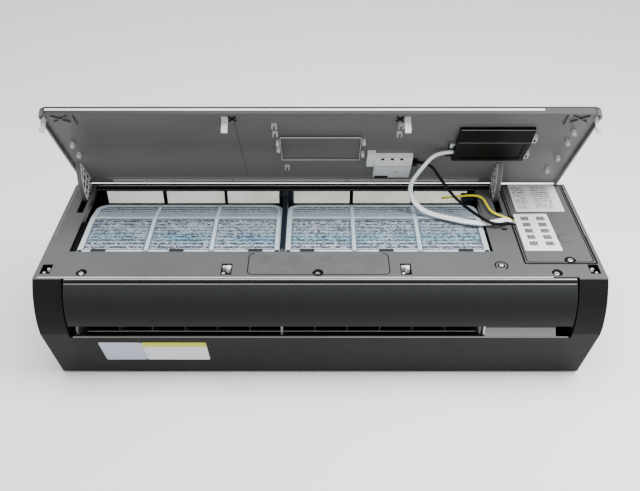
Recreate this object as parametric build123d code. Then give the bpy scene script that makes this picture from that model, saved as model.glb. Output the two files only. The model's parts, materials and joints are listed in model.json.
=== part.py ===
"""Mini split indoor unit, lying on its back with its front panel swung open.

Millimetres. +X runs along the unit to its electrical end, +Y towards the edge that is uppermost
on the wall, +Z away from the wall. The origin is the centre of the back face.
"""
from build123d import *
import math
import os

# ---------------------------------------------------------------- casing
BODY_WIDTH = 835.0
BODY_HEIGHT = 285.0
FRAME_DEPTH = 198.0          # back face to the face of the front frame
BULGE = 25.0                 # the air outlet side stands this far past the face's near edge
BACK_TAPER = 6.0             # each end draws in this much towards the wall
CHIN_DROP = 97.0             # face to the chin's edge under the air outlet
KINK_DROP = 88.0             # face to where the curved nose meets the chin
NOSE_INSET = 4.6             # middle of the nose to the unit's lower limit
CHIN_FOOT_INSET = 31.0       # how far the chin leans back at the wall
FAR_EDGE_RADIUS = 6.0
WALL = 3.0
BACK_PLATE = 2.5
FIT = 0.3                    # gap between moulded pieces that sit in one another
FRAME_FOOT = 2.5             # the frame ends this far above the back face

Y_FAR = BODY_HEIGHT / 2
Y_LOW = -BODY_HEIGHT / 2
Y_NEAR = Y_LOW + BULGE
HALF = BODY_WIDTH / 2
FACE = FRAME_DEPTH
CHIN_TOP_Z = FACE - CHIN_DROP
KINK_Z = FACE - KINK_DROP
CHIN_FOOT = (Y_LOW + CHIN_FOOT_INSET, 0.0)
KINK = (Y_LOW + 1.0, KINK_Z)

# ---------------------------------------------------------------- face of the front frame
FAR_BAR = 21.5               # bar beyond the filter opening
NEAR_BAR = 64.5              # bar on the outlet side of the filter opening
COVER_MARGIN = 5.5           # cover to the casing's right end
COVER_WIDTH = 108.0
COVER_RIGHT = HALF - COVER_MARGIN
COVER_LEFT = COVER_RIGHT - COVER_WIDTH
BAY_LEFT = -HALF + 36.5
BAY_RIGHT = COVER_LEFT - 42.0
BAY_RIB_X = (BAY_LEFT + BAY_RIGHT) / 2 + 1.5
BAY_RIB_WIDTH = 7.0
RIB_BLOCK_WIDTH = 22.0
BAY_RIB_DEPTH = 18.0
NEAR_LIP = 3.5               # the face stops this far short of the nose over the louver
Y_BAY_NEAR = Y_NEAR + NEAR_BAR
Y_BAY_FAR = Y_FAR - FAR_BAR

WINDOW_ROWS = 4
WINDOW_HEIGHT = 27.0
WINDOW_PITCH = 34.0
WINDOW_TOP_DROP = 14.0       # face to the upper edge of the first row
WINDOW_SHARES = ((0.0, 0.323), (0.343, 0.677), (0.693, 1.0))
WINDOW_SPANS = ((BAY_LEFT + 12, BAY_RIB_X - 11), (BAY_RIB_X + 12, BAY_RIGHT - 8))
WINDOW_EDGES = [(low + (high - low) * start, low + (high - low) * end)
                for low, high in WINDOW_SPANS for start, end in WINDOW_SHARES]
GRILLE_BORDER = 3.0
GRILLE_X = (WINDOW_EDGES[0][0] - GRILLE_BORDER, WINDOW_EDGES[-1][1] + GRILLE_BORDER)
GRILLE_TOP = FACE - WINDOW_TOP_DROP + GRILLE_BORDER
GRILLE_Z = (GRILLE_TOP - (WINDOW_ROWS - 1) * WINDOW_PITCH - WINDOW_HEIGHT - 2 * GRILLE_BORDER, GRILLE_TOP)

# ---------------------------------------------------------------- panel hinge
PANEL_HALF = HALF - 14.5
PANEL_REACH = 2.1            # the closed panel runs this far past the face's near edge
PANEL_SKIN = 8.0
PANEL_OPEN = 56.5            # degrees between the open panel and the face
PANEL_STANDOFF = 18.0        # hinge line to the panel's inner face
PANEL_OVERHANG = 3.5         # the panel runs this far past the hinge line
PANEL_CORNER = 14.0
PANEL_RIM = 5.0
PANEL_RIM_WALL = 3.0
HINGE_DROP = 4.0             # hinge line below the frame's face
HINGE_INSET = 20.6           # hinge line to the far edge
HINGE_PIN_RADIUS = 3.0
HINGE_PIN_CLEARANCE = 0.08
HINGE_PIN_LENGTH = 20.0
ARM_THICKNESS = 7.0
ARM_LEFT_X = -HALF + 26.0
ARM_RIGHT_X = COVER_LEFT - 13.0
ARM_SLOT_WIDTH = 11.0
ARM_SLOT_NEAR = 70.0         # slot's reach from the hinge line towards the outlet
ARM_SLOT_FAR = 9.0

HINGE_Y = Y_FAR - HINGE_INSET
HINGE_Z = FACE - HINGE_DROP
PANEL_LENGTH = HINGE_Y - Y_NEAR + PANEL_OVERHANG + PANEL_REACH
TURN = math.radians(PANEL_OPEN)
PANEL = Plane(origin=(0, HINGE_Y, HINGE_Z), x_dir=(1, 0, 0),
              z_dir=(0, -math.sin(TURN), -math.cos(TURN)))

# ---------------------------------------------------------------- latches, screws, button
LATCH_REACH = 21.5           # latches to the near edge of the face
LATCH_X = (-138.0, 126.0)
LATCH_SOCKET = (16.0, 26.0)
CORNER_LATCH_X = (-PANEL_HALF, PANEL_HALF)
CORNER_SOCKET = (15.0, 22.0)
SOCKET_DEPTH = 16.0
FRAME_SCREW_X = (-HALF + 67.5, -4.0, HALF - 71.5)
FRAME_SCREW_REACH = 13.0
SCREW_HEAD = 8.0
SCREW_HEAD_DEPTH = 2.2
SCREW_SHANK = 3.9
SCREW_LENGTH = 14.0
SCREW_RECESS = 15.0
SCREW_RECESS_DEPTH = 3.0
SCREW_BOSS = 9.0
SCREW_Y = Y_NEAR + FRAME_SCREW_REACH
BUTTON_X = COVER_LEFT - 36.0
BUTTON_REACH = 30.0
BUTTON_DIAMETER = 6.0
BUTTON_TRAVEL = 1.5
BUTTON_CLEARANCE = 0.3
BUTTON_FLANGE = 1.5
POCKET_X = (-107.0, 102.0)
POCKET_Y = (Y_NEAR + 9.0, Y_NEAR + 60.0)
POCKET_DEPTH = 1.6
POCKET_CORNER = 8.0

# ---------------------------------------------------------------- filters
FILTER_LEFT = (BAY_LEFT + 9.0, BAY_RIB_X - 4.5)
FILTER_RIGHT = (BAY_RIB_X + 4.5, BAY_RIGHT - 3.0)
FILTER_DROP = 5.0            # face to the top of a filter
FILTER_THICKNESS = 3.0
FILTER_RIM = 6.0
FILTER_BAR = 3.0
FILTER_SLOPE = 54.0          # bend to the far edge
FILTER_MARGIN = 24.0         # far edge, laid flat, to the far bar
FILTER_CORNER = 20.0         # rounding of a filter's far outer corners
FILTER_BEND = 11.0           # degrees that the far row leans down
FILTER_COLUMNS = 3
NET_THICKNESS = 0.6
NET_COLUMNS = 4              # gaps across one column of a filter
NET_FLAT_ROWS = 4
NET_SLOPE_ROWS = 2
NET_BAR = 1.6
TAB_WIDTH = 22.0
TAB_REACH = 9.0
TAB_THICKNESS = 2.0
TAB_SHARES = (0.107, 0.493, 0.882)
TAB_X = [low + (high - low) * share for low, high in (FILTER_LEFT, FILTER_RIGHT) for share in TAB_SHARES]
Y_FILTER = Y_BAY_NEAR + 1.5
FILTER_FLAT = Y_BAY_FAR - FILTER_MARGIN - FILTER_SLOPE - Y_BAY_NEAR

# ---------------------------------------------------------------- louver
OUTLET_HALF = HALF - 41.5
LOUVER_HALF = OUTLET_HALF - 3.0
LOUVER_THICKNESS = 5.0
LOUVER_GAP = 25.0            # chin edge to the louver's lower edge
LOUVER_PIVOT = (Y_LOW + 21.0, FACE - 46.0)
PIVOT_RADIUS = 3.0
PIVOT_CLEARANCE = 0.08
PIVOT_LENGTH = 19.0
CHEEK_WALL = 2.5
LOUVER_ARMS_X = (-LOUVER_HALF + 4.0, BAY_RIB_X, LOUVER_HALF - 4.0)
LOUVER_ARM_WIDTH = 4.0

# ---------------------------------------------------------------- fan and motor
FAN_CENTRE = (-5.0, FACE - 114.0)
FAN_SHARE = 0.1685           # fan's radius over the casing's height
FAN_RADIUS = round(FAN_SHARE * BODY_HEIGHT, 1)
FAN_LEFT = BAY_LEFT + 21.0
FAN_RIGHT = BAY_RIGHT - 26.0
FAN_BLADES = 30
FAN_SEGMENTS = 5
FAN_DISC = 2.0
BLADE_DEPTH = 13.0
BLADE_THICKNESS = 1.1
BLADE_LEAN = 28.0
FAN_HUB_RADIUS = 11.0
SHAFT_RADIUS = 4.0
BEARING_RADIUS = 13.0
BEARING_CLEARANCE = 0.05
MOTOR_RADIUS = 43.0
MOTOR_LENGTH = 84.0
MOTOR_NECK_RADIUS = 10.0
MOTOR_GAP = 6.0              # end wall to motor
END_WALL = 3.0

# ---------------------------------------------------------------- coil
COIL_LEFT = BAY_LEFT + 18.0
COIL_RIGHT = BAY_RIGHT - 25.0
COIL_THICKNESS = 24.0
COIL_LINE = ((Y_LOW + 68.5, FACE - 48.0), (Y_FAR - 128.5, FACE - 35.0), (Y_FAR - 68.5, FACE - 77.0),
             (Y_FAR - 41.5, FACE - 168.0))
FIN_PITCH = 12.0
FIN_GROOVE = 3.0
FIN_GROOVE_DEPTH = 2.0
COIL_PLATE = 1.2
COIL_PLATE_MARGIN = 2.0
TUBE_RADIUS = 3.5
RETURN_BEND_SPAN = 12.0
RETURN_BEND_PITCH = 25.0

# ---------------------------------------------------------------- electrical end
COVER_NEAR_REACH = 34.5      # cover to the near edge of the face
COVER_FAR_INSET = 6.5
COVER_THICKNESS = 2.5
COVER_GAP = 0.5
COVER_Y = (Y_NEAR + COVER_NEAR_REACH, Y_FAR - COVER_FAR_INSET)
COVER_SCREW = (COVER_RIGHT - 39.0, Y_NEAR + 42.5)
COVER_SCREW_SINK = 0.9
DIMPLE = (COVER_RIGHT - 33.0, COVER_Y[0] + 64.0)
DIMPLE_RADIUS = 10.5
BOX_DEPTH = 44.0
BOX_WALL = 2.0
BOX_GAP = 1.5                # cover's edge to the box
BOX_TOP = FACE - COVER_THICKNESS
BOX_FLOOR = BOX_TOP - BOX_DEPTH
BOX_POST = 5.5
BOARD_THICKNESS = 1.6
BOARD_RISE = 8.0
TERMINALS = 5
TERMINAL_PITCH = 13.0
TERMINAL_LENGTH = 20.0
TERMINAL_Y = COVER_Y[0] + 16.0
TERMINAL_X = COVER_LEFT + 18.0

# ---------------------------------------------------------------- pipes
GAS_RADIUS = 4.76
LIQUID_RADIUS = 3.175
PIPE_WALL = 0.8
GAS_SLEEVE = 10.5
LIQUID_SLEEVE = 9.5
GAS_LANE = (Y_LOW + 46.5, 13.0)
LIQUID_LANE = (Y_LOW + 68.0, 12.0)
HOSE_LANE = (Y_LOW + 38.5, 31.0)
PIPE_END_X = -HALF + 217.5
SLEEVE_END = 22.0            # bare pipe between union and sleeve
SLEEVE_RIGHT = COIL_RIGHT - 17.0
UNION_LENGTH = 14.0
GAS_UNION_RADIUS = 7.94
LIQUID_UNION_RADIUS = 5.56
HOSE_RADIUS = 8.0
HOSE_BORE = 6.0
HOSE_VALLEY = 7.0
HOSE_PITCH = 10.0
HOSE_RIB = ((0.12, HOSE_VALLEY), (0.4, HOSE_VALLEY), (0.55, HOSE_RADIUS), (0.97, HOSE_RADIUS))
HOSE_RIBS = 20
HOSE_CUFF = 8.6              # radius of the plain cuff at the hose's free end
HOSE_LEFT = FAN_LEFT - 6.0
HOSE_ELBOW_X = HOSE_LEFT - 19.0
HOSE_START = (Y_LOW + 62.5, FACE - 75.0)     # where the elbow leaves the pan's end
PIPE_START = COIL_RIGHT + COIL_PLATE
PIPE_FIT = 0.1               # pipe to its foam sleeve
SOLDER_FIT = 0.02            # pipe to its union
UNION_NUT_MARGIN = 2.5       # thread to the hexagon's corner
GAS_TAP = 0.667              # where each pipe leaves the coil, along its first run
LIQUID_TAP = 0.333
TAPS = [[(1 - share) * low + share * high for low, high in zip(*COIL_LINE[:2])]
        for share in (GAS_TAP, LIQUID_TAP)]
GAS_FALL = PIPE_START + 28.0         # X of each pipe's run down to the back
LIQUID_FALL = PIPE_START + 12.0
GAS_ROUTE = ((PIPE_START, *TAPS[0]), (GAS_FALL, *TAPS[0]), (GAS_FALL, Y_LOW + 66.5, FACE - 56.0),
             (GAS_FALL, Y_LOW + 64.5, 40.0), (GAS_FALL - 18, *GAS_LANE), (PIPE_END_X, *GAS_LANE))
GAS_BENDS = (15, 15, 12, 12)
LIQUID_ROUTE = ((PIPE_START, *TAPS[1]), (LIQUID_FALL, *TAPS[1]), (LIQUID_FALL, Y_LOW + 80.5, FACE - 58.0),
                (LIQUID_FALL, Y_LOW + 80.5, 34.0), (LIQUID_FALL - 14, *LIQUID_LANE),
                (PIPE_END_X, *LIQUID_LANE))
LIQUID_BENDS = (8, 10, 10, 10)

# ---------------------------------------------------------------- scroll wall, back plate, duct
SCROLL_THICKNESS = 2.5
SCROLL_GAP = 8.5             # fan to the scroll wall's start
THROAT_REACH = 40.0          # fan's centre to the throat, towards the outlet
THROAT_GAP = 3.0             # fan to the scroll wall at the throat
END_WALL_REACH = 44.0        # fan's centre to an end wall's near corner
END_WALL_FAR = 40.0
CHANNEL_Y = (Y_LOW + 35.5, Y_LOW + 80.5)     # channel in the back plate that the pipes and the hose lie in
CHANNEL_X = (-HALF + 23.5, COVER_LEFT - 14.0)
OUTLET_NOTCH_HEIGHT = 46.0   # notches in both ends that the pipes and the hose can leave by
HOOK_SLOT_X = (-250.0, 250.0)
HOOK_SLOT_LENGTH = 36.0
HOOK_SLOT_WIDTH = 9.0
HOOK_SLOT_INSET = 34.0
BACK_RIM = 18.0
BACK_RIM_WALL = 2.2
DUCT_MARGIN = 4.0            # end wall of the casing to the end of the duct
AIR_PATH = (FAN_LEFT - 12, FAN_RIGHT + 10)
DUCT_LEFT = AIR_PATH[0] + DUCT_MARGIN
DUCT_RIGHT = AIR_PATH[1] - DUCT_MARGIN
MOTOR_START = AIR_PATH[1] + MOTOR_GAP
MOTOR_MIDDLE = MOTOR_START + MOTOR_LENGTH / 2
MOTOR_SEAT_Z = FAN_CENTRE[1] - 16.0

# ---------------------------------------------------------------- vanes
VANES_PER_SIDE = 5
VANE_PITCH = (FAN_RIGHT - FAN_LEFT) / (2 * VANES_PER_SIDE + 2)
VANE_PIVOT = (Y_LOW + 54.5, FACE - 113.0)
VANE_THICKNESS = 1.6
VANE_PIN_RADIUS = 1.6
VANE_PIN_CLEARANCE = 0.08
VANE_SWING = 30.0
VANE_CRANK = 12.0
VANE_TOP = 20.0
VANE_FOOT = -22.0
VANE_FLOW = 29.0             # degrees between the air's way out and the back plate
LINK_WIDTH = 7.0
LINK_THICKNESS = 2.5
LINK_CLEARANCE = 0.5
VANE_AXIS = (0.0, math.sin(math.radians(VANE_FLOW)), math.cos(math.radians(VANE_FLOW)))
VANE_FRAME = Plane(origin=(0, *VANE_PIVOT), x_dir=(1, 0, 0), z_dir=VANE_AXIS)

# ---------------------------------------------------------------- pieces on the open panel
# y runs from the hinge line to the free edge, z from the hinge line's level into the unit.
INNER = -PANEL_STANDOFF      # the panel's inner face
FREE_EDGE = PANEL_LENGTH - PANEL_OVERHANG
HINGE_EDGE = -PANEL_OVERHANG
HOOK_Y = HINGE_Y - (Y_NEAR + LATCH_REACH)
HOOK_REACH = PANEL_STANDOFF - HINGE_DROP + 9.0
HOOK_FOOT = (HOOK_Y - 4.0, HOOK_Y + 6.0)
LATCH_HOOK = 9.0             # widths of the middle hooks and the corner hooks
CORNER_HOOK = 7.0
CORNER_HOOK_X = (-PANEL_HALF + CORNER_HOOK / 2, PANEL_HALF - CORNER_HOOK / 2)
RIB = 1.6
CROSS_LENGTH = 30.0          # crossed ribs in the panel's corners
CROSS_TURN = 38.0
CROSS_INSET = 28.0
CORNER_RIB_INSET = 47.0
DISPLAY_X = (COVER_LEFT - 97.0, COVER_LEFT + 14.0)
MODULE_X = (COVER_LEFT - 217.0, COVER_LEFT - 158.0)
HOLDER_X = (MODULE_X[0] - 148.0, MODULE_X[0] - 25.0)
HOLDER_Y = (90.0, 165.0)
FLANGE_RIBS_X = (-297.0, -251.0, -151.0, 46.0)
FLANGE_DEPTH = 17.0
EDGE_CLIP_X = (-PANEL_HALF + 23.0, PANEL_HALF - 26.0)
TOP_CLIP_X = (HOLDER_X[0] - 6.5, MODULE_X[0] + 31.0)
CLIP_PLACES = [(x, FREE_EDGE - reach, 0) for x in TOP_CLIP_X for reach in (38.0, 62.5)]
CLIP_PLACES += [(HOLDER_X[0] + 7.0, 64.0, 0), (EDGE_CLIP_X[1] - 5.0, 54.0, 90)]
CLIP_PLACES += [(EDGE_CLIP_X[0], y, 90) for y in (143.0, 109.0)]
CLIP_PLACES += [(EDGE_CLIP_X[1], y, 90) for y in (FREE_EDGE - 59.5, FREE_EDGE - 91.5, 98.0)]
CLIP_PLACES += [(HOLDER_X[0] - 4.0, y, 90) for y in (150.0, 128.0)]
CLIP_PLACES += [(HOLDER_X[1] + 4.5, y, 90) for y in (152.0, 112.0)]
DISPLAY_Y = (101.0, 193.5)
DISPLAY_FOLD = 163.5
DISPLAY_DEPTH = 11.0
DISPLAY_LIP = 5.0
DISPLAY_EAR = 9.0
DISPLAY_EAR_Y = 138.0
DISPLAY_STOP_Y = (165.0, 113.0)
MODULE_Y = (35.0, 108.0)
MODULE_FOLD = 83.0
MODULE_DEPTH = 10.5
PLUG_SIZE = (9.0, 13.0, 7.0)

# ---------------------------------------------------------------- cables
ENTRY_Y = Y_FAR - 113.5      # middle of the notch where the cables dive under the cover
ENTRY_WIDTH = 25.0
ENTRY_X = (COVER_LEFT - 12.0, COVER_LEFT + 10.0)
DISPLAY_CABLE_RADIUS = 3.25
MODULE_CABLE_RADIUS = 2.5
EARTH_WIRE_RADIUS = 1.75


def from_cover(*places):
    """Places measured from the cover's left edge, the casing's far edge and the face."""
    return [(COVER_LEFT + x, Y_FAR + y, FACE + z) for x, y, z in places]


DISPLAY_CABLE = from_cover((-97, -80, 106.6), (-123, -80, 106.6), (-144, -86.5, 83), (-162, -81.5, 48),
                           (-155, -77.5, 16), (-139, -88.5, 3.5), (-120, -101.5, 2.5), (-94, -112.5, 2.5),
                           (-67, -122, 2.5), (-42, -129, 5), (-20, -124.5, 7), (-7, -115, 3.5),
                           (6, -113, -4.5), (22, -113, -11))
MODULE_CABLE = from_cover((-149, -55.7, 73.5), (-129, -55.7, 73.5), (-112, -67.5, 52), (-90, -75.5, 24),
                          (-71, -92.5, 13.5), (-54, -118.5, 13), (-38, -136.5, 11.5), (-20, -136, 8),
                          (-8, -124.5, 4), (5, -120, -4), (22, -120, -11))
EARTH_WIRE = from_cover((-96, -19.5, -18), (-74, -33, -6.5), (-51, -43.5, 3.5), (-35, -52.5, 5.5),
                        (-32, -76.5, 5.5), (-28, -97.5, 5.5), (-14, -107, 4.5), (2, -106.5, -2),
                        (21, -106, -11))

# ================================================================ helpers


def block(x_span, y_span, z_span):
    """A box from three (low, high) spans."""
    spans = (x_span, y_span, z_span)
    size = [high - low for low, high in spans]
    middle = [(high + low) / 2 for low, high in spans]
    return Pos(*middle) * Box(*size)


def rod(x_span, centre, radius):
    """A cylinder along X, centred on (y, z)."""
    low, high = x_span
    return Pos((low + high) / 2, *centre) * Rot(0, 90, 0) * Cylinder(radius, high - low)


def stud(x, y, z_span, radius):
    """A cylinder along Z."""
    low, high = z_span
    return Pos(x, y, (low + high) / 2) * Cylinder(radius, high - low)


def along_x(face, x_span):
    """Extrude a face drawn as (y, z) from one X to another."""
    low, high = x_span
    return extrude(Plane.YZ.offset(low) * face, high - low)


def outline(*points):
    """A face with straight sides."""
    return make_face(Polyline(*points, close=True))


def from_lower_edge(*points):
    """A face whose points are measured in from the casing's lower limit and down from the face."""
    return outline(*[(Y_LOW + inset, FACE - drop) for inset, drop in points])


def centred(middle, width):
    return (middle - width / 2, middle + width / 2)


def band(line, thickness):
    """A strip with a centre line and a thickness."""
    return trace(line, thickness)


def pipe(points, radii, outer, inner=0.0):
    """A tube along straight runs joined by tangent arcs."""
    path = FilletPolyline(*points, radius=radii)
    section = Plane(origin=path @ 0, z_dir=path % 0) * Circle(outer)
    if inner:
        section -= Plane(origin=path @ 0, z_dir=path % 0) * Circle(inner)
    return sweep(section, path)


def save(name, shape):
    export_step(shape, f"parts/{name}.step")


# ================================================================ casing

def casing_face(inset, floor):
    """The end profile of the casing, drawn in by a wall and cut off at a floor height."""
    foot = (CHIN_FOOT[0] + inset, floor - 1.0)
    kink = (KINK[0] + inset, KINK_Z)
    nose = (Y_LOW + inset + NOSE_INSET, (KINK_Z + FACE) / 2 + 4.0)
    near = (Y_NEAR + inset * 0.6, FACE - inset)
    far = (Y_FAR - inset, FACE - inset)
    sides = [Line(foot, kink), ThreePointArc(kink, nose, near), Line(near, far),
             Line(far, (far[0], floor - 1.0)), Line((far[0], floor - 1.0), foot)]
    return make_face(Curve() + sides)


def tapered(width, shape):
    """Trim a casing solid's ends so that they draw in towards the wall."""
    half = width / 2
    ends = outline((-half + BACK_TAPER, -1.0), (half - BACK_TAPER, -1.0), (half, KINK_Z),
                   (half, FACE + 1.0), (-half, FACE + 1.0), (-half, KINK_Z))
    return shape & extrude(Plane.XZ.offset(-BODY_HEIGHT) * ends, 2 * BODY_HEIGHT)


def casing_solid(inset, floor):
    half = HALF - inset
    solid = along_x(casing_face(inset, floor), (-half, half))
    solid = tapered(2 * half, solid)
    return solid & block((-HALF, HALF), (Y_LOW - 1, Y_FAR + 1), (floor, FACE))


def frame_openings():
    """Everything that is cut through the skin of the front frame."""
    deep = FACE - BAY_RIB_DEPTH
    cuts = [block((BAY_LEFT, BAY_RIGHT), (Y_BAY_NEAR, Y_BAY_FAR), (deep, FACE + 1))]
    cuts.append(block((COVER_LEFT - COVER_GAP, COVER_RIGHT + COVER_GAP),
                      (Y_NEAR + COVER_NEAR_REACH - COVER_GAP, Y_FAR - COVER_FAR_INSET + COVER_GAP),
                      (deep, FACE + 1)))
    cuts.append(block((-OUTLET_HALF, OUTLET_HALF), (Y_LOW - 5, Y_NEAR + NEAR_LIP),
                      (CHIN_TOP_Z, FACE + 1)))
    for x in (ARM_LEFT_X, ARM_RIGHT_X):
        cuts.append(block(centred(x, ARM_SLOT_WIDTH), (HINGE_Y - ARM_SLOT_NEAR, HINGE_Y + ARM_SLOT_FAR),
                          (deep, FACE + 1)))
    cuts.append(block(GRILLE_X, (Y_FAR - 2 * WALL, Y_FAR + 1), GRILLE_Z))
    return cuts


def intake_grille():
    """Flat lattice that fills the frame's far wall, with the windows that the air enters by."""
    lattice = block(GRILLE_X, (Y_FAR - WALL, Y_FAR), GRILLE_Z)
    for row in range(WINDOW_ROWS):
        top = FACE - WINDOW_TOP_DROP - row * WINDOW_PITCH
        for span in WINDOW_EDGES:
            lattice -= block(span, (Y_FAR - 2 * WALL, Y_FAR + 1), (top - WINDOW_HEIGHT, top))
    return lattice


def socket(x, size):
    """A latch socket: the cup under the face and the hole in it."""
    y = Y_NEAR + LATCH_REACH
    cup = block(centred(x, size[0] + 3), centred(y, size[1] + 3), (FACE - SOCKET_DEPTH, FACE - 1))
    hole = block(centred(x, size[0]), centred(y, size[1]), (FACE - SOCKET_DEPTH + 1.5, FACE + 1))
    return cup, hole


def front_frame():
    shell = casing_solid(0.0, FRAME_FOOT)
    far_edge = shell.edges().filter_by(Axis.X).sort_by(Axis.Y)[-2:].sort_by(Axis.Z)[-1]
    shell = fillet(far_edge, FAR_EDGE_RADIUS)
    shell -= casing_solid(WALL, -1.0)
    for x in FRAME_SCREW_X:
        shell += stud(x, SCREW_Y, (FACE - 10, FACE - 1), SCREW_BOSS)
    sockets = [socket(x, LATCH_SOCKET) for x in LATCH_X]
    sockets += [socket(x, CORNER_SOCKET) for x in CORNER_LATCH_X]
    inside = casing_solid(0.5, FRAME_FOOT)
    for cup, _ in sockets:
        shell += cup & inside
    for cut in frame_openings():
        shell -= cut
    for _, hole in sockets:
        shell -= hole
    shell += bay_ribs()
    for x in TAB_X:
        shell += block(centred(x, TAB_WIDTH), (Y_BAY_NEAR - 1, Y_BAY_NEAR + TAB_REACH),
                       (FACE - FILTER_DROP + 1.5, FACE - FILTER_DROP + 1.5 + TAB_THICKNESS))
    for x in (-OUTLET_HALF - CHEEK_WALL, OUTLET_HALF):
        shell += cheek_wall((x, x + CHEEK_WALL)) & casing_solid(0.5, FRAME_FOOT)
    shell += filter_rails()
    shell -= screw_seats()
    shell -= pocket_face(0.0)
    shell -= button_hole()
    bore = HINGE_PIN_RADIUS + HINGE_PIN_CLEARANCE
    for x in (ARM_LEFT_X, ARM_RIGHT_X):
        shell -= rod(centred(x, HINGE_PIN_LENGTH), (HINGE_Y, HINGE_Z), bore)
    return shell - cable_notch() - end_notches()


def end_notches():
    """The pipes' and the hose's way out through both ends, level with the channel behind."""
    low, high = -1.0, OUTLET_NOTCH_HEIGHT
    face = outline((chin_inner(low) + 1, low), (chin_inner(high) + 1, high), (CHANNEL_Y[1], high),
                   (CHANNEL_Y[1], low))
    return along_x(face, (-HALF - 1, CHANNEL_X[0])) + along_x(face, (HALF - 24, HALF + 1))


def bay_ribs():
    """The rib between the two filters, and the hinge bosses beside the arm slots."""
    rib = block(centred(BAY_RIB_X, BAY_RIB_WIDTH), (Y_BAY_NEAR - 1, Y_BAY_FAR + 1),
                (FACE - BAY_RIB_DEPTH, FACE - 1))
    rib += block(centred(BAY_RIB_X, RIB_BLOCK_WIDTH), (Y_BAY_FAR - 14, Y_BAY_FAR + 1),
                 (FACE - BAY_RIB_DEPTH, FACE - 2))
    for x in (ARM_LEFT_X, ARM_RIGHT_X):
        for side in (-1, 1):
            inner = x + side * ARM_SLOT_WIDTH / 2
            span = sorted((inner, inner + side * 5.0))
            rib += block(span, centred(HINGE_Y, 13), (HINGE_Z - 6, FACE - 1))
    return rib


def cheek_wall(span):
    """The wall at one end of the outlet, with a hole that the louver's pivot passes."""
    wall = block(span, (Y_LOW, Y_NEAR + 24), (CHIN_TOP_Z - 4, FACE - 1))
    return wall - rod((span[0] - 1, span[1] + 1), LOUVER_PIVOT, 6.0)


def filter_rails():
    """Ledges that the filters slide on, and the bay's side walls."""
    top = FACE - FILTER_DROP - FILTER_THICKNESS - 0.2
    z_span = (top - 3, top)
    y_span = (Y_BAY_NEAR - 1, Y_FILTER + FILTER_FLAT - 8)
    rails = block((BAY_LEFT - 1, FILTER_LEFT[0] + 4), y_span, z_span)
    rails += block((FILTER_RIGHT[1] - 4, BAY_RIGHT + 1), y_span, z_span)
    rails += block((FILTER_LEFT[1] - 3, FILTER_RIGHT[0] + 3), y_span, z_span)
    rails += block((BAY_LEFT - 1, BAY_RIGHT + 1), (Y_BAY_NEAR - 1, Y_BAY_NEAR + 5), z_span)
    for x in (BAY_LEFT - WALL, BAY_RIGHT):
        rails += block((x, x + WALL), (Y_BAY_NEAR - 1, Y_BAY_FAR + 1), (top - 3, FACE - 1))
    return rails + block((BAY_LEFT, BAY_RIGHT), (Y_BAY_NEAR - WALL, Y_BAY_NEAR), (top - 3, FACE - 1))


def screw_seats():
    seats = Part()
    for x in FRAME_SCREW_X:
        seats += stud(x, SCREW_Y, (FACE - SCREW_RECESS_DEPTH, FACE + 1), SCREW_RECESS / 2)
        seats += stud(x, SCREW_Y, (FACE - SCREW_LENGTH, FACE), SCREW_SHANK / 2)
    return seats


def cable_notch():
    """Dip in the bar between the right arm slot and the cover, where the cables go down."""
    return block(ENTRY_X, centred(ENTRY_Y, ENTRY_WIDTH), (FACE - 12, FACE + 1))


def pocket_face(gap):
    """The shallow plate in the near bar, drawn in by a gap."""
    width = POCKET_X[1] - POCKET_X[0] - 2 * gap
    length = POCKET_Y[1] - POCKET_Y[0] - 2 * gap
    plate = extrude(RectangleRounded(width, length, POCKET_CORNER - gap), POCKET_DEPTH)
    middle = (sum(POCKET_X) / 2, sum(POCKET_Y) / 2, FACE - POCKET_DEPTH)
    return Pos(*middle) * plate


def pocket_plate():
    hole = stud(FRAME_SCREW_X[1], SCREW_Y, (FACE - 2 * POCKET_DEPTH, FACE + 1), SCREW_RECESS / 2 + FIT)
    return pocket_face(FIT) - hole


def button_hole():
    return stud(BUTTON_X, Y_NEAR + BUTTON_REACH, (FACE - 5, FACE + 1),
                BUTTON_DIAMETER / 2 + BUTTON_CLEARANCE)


def casing_screws():
    screws = [screw(x, SCREW_Y, FACE - SCREW_RECESS_DEPTH) for x in FRAME_SCREW_X]
    return group(*screws, screw(*COVER_SCREW, FACE - COVER_SCREW_SINK))


def screw(x, y, seat):
    head = stud(x, y, (seat, seat + SCREW_HEAD_DEPTH), SCREW_HEAD / 2)
    head = fillet(head.edges().sort_by(Axis.Z)[-1], 0.8)
    head -= block(centred(x, 4.4), centred(y, 1.0), (seat + 1.0, seat + 3))
    head -= block(centred(x, 1.0), centred(y, 4.4), (seat + 1.0, seat + 3))
    return head + stud(x, y, (seat - SCREW_LENGTH + 4, seat), SCREW_SHANK / 2)


def group(*solids):
    return Compound(children=list(solids))


# ================================================================ rear casing and air path

def scroll_line():
    """The rear wall of the air path: round the fan, then out to the chin."""
    y, z = FAN_CENTRE
    start = (y + FAN_RADIUS + SCROLL_GAP, z + 8.0)
    low = (y + 18.0, z - FAN_RADIUS - 6.0)
    throat = (y - THROAT_REACH, z - FAN_RADIUS - THROAT_GAP)
    lip = (KINK[0] + WALL + 6.0, CHIN_TOP_Z - 2.0)
    middle = ((throat[0] + lip[0]) / 2 - 4.0, (throat[1] + lip[1]) / 2 - 12.0)
    return Curve() + [ThreePointArc(start, low, throat), ThreePointArc(throat, middle, lip)]


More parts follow.
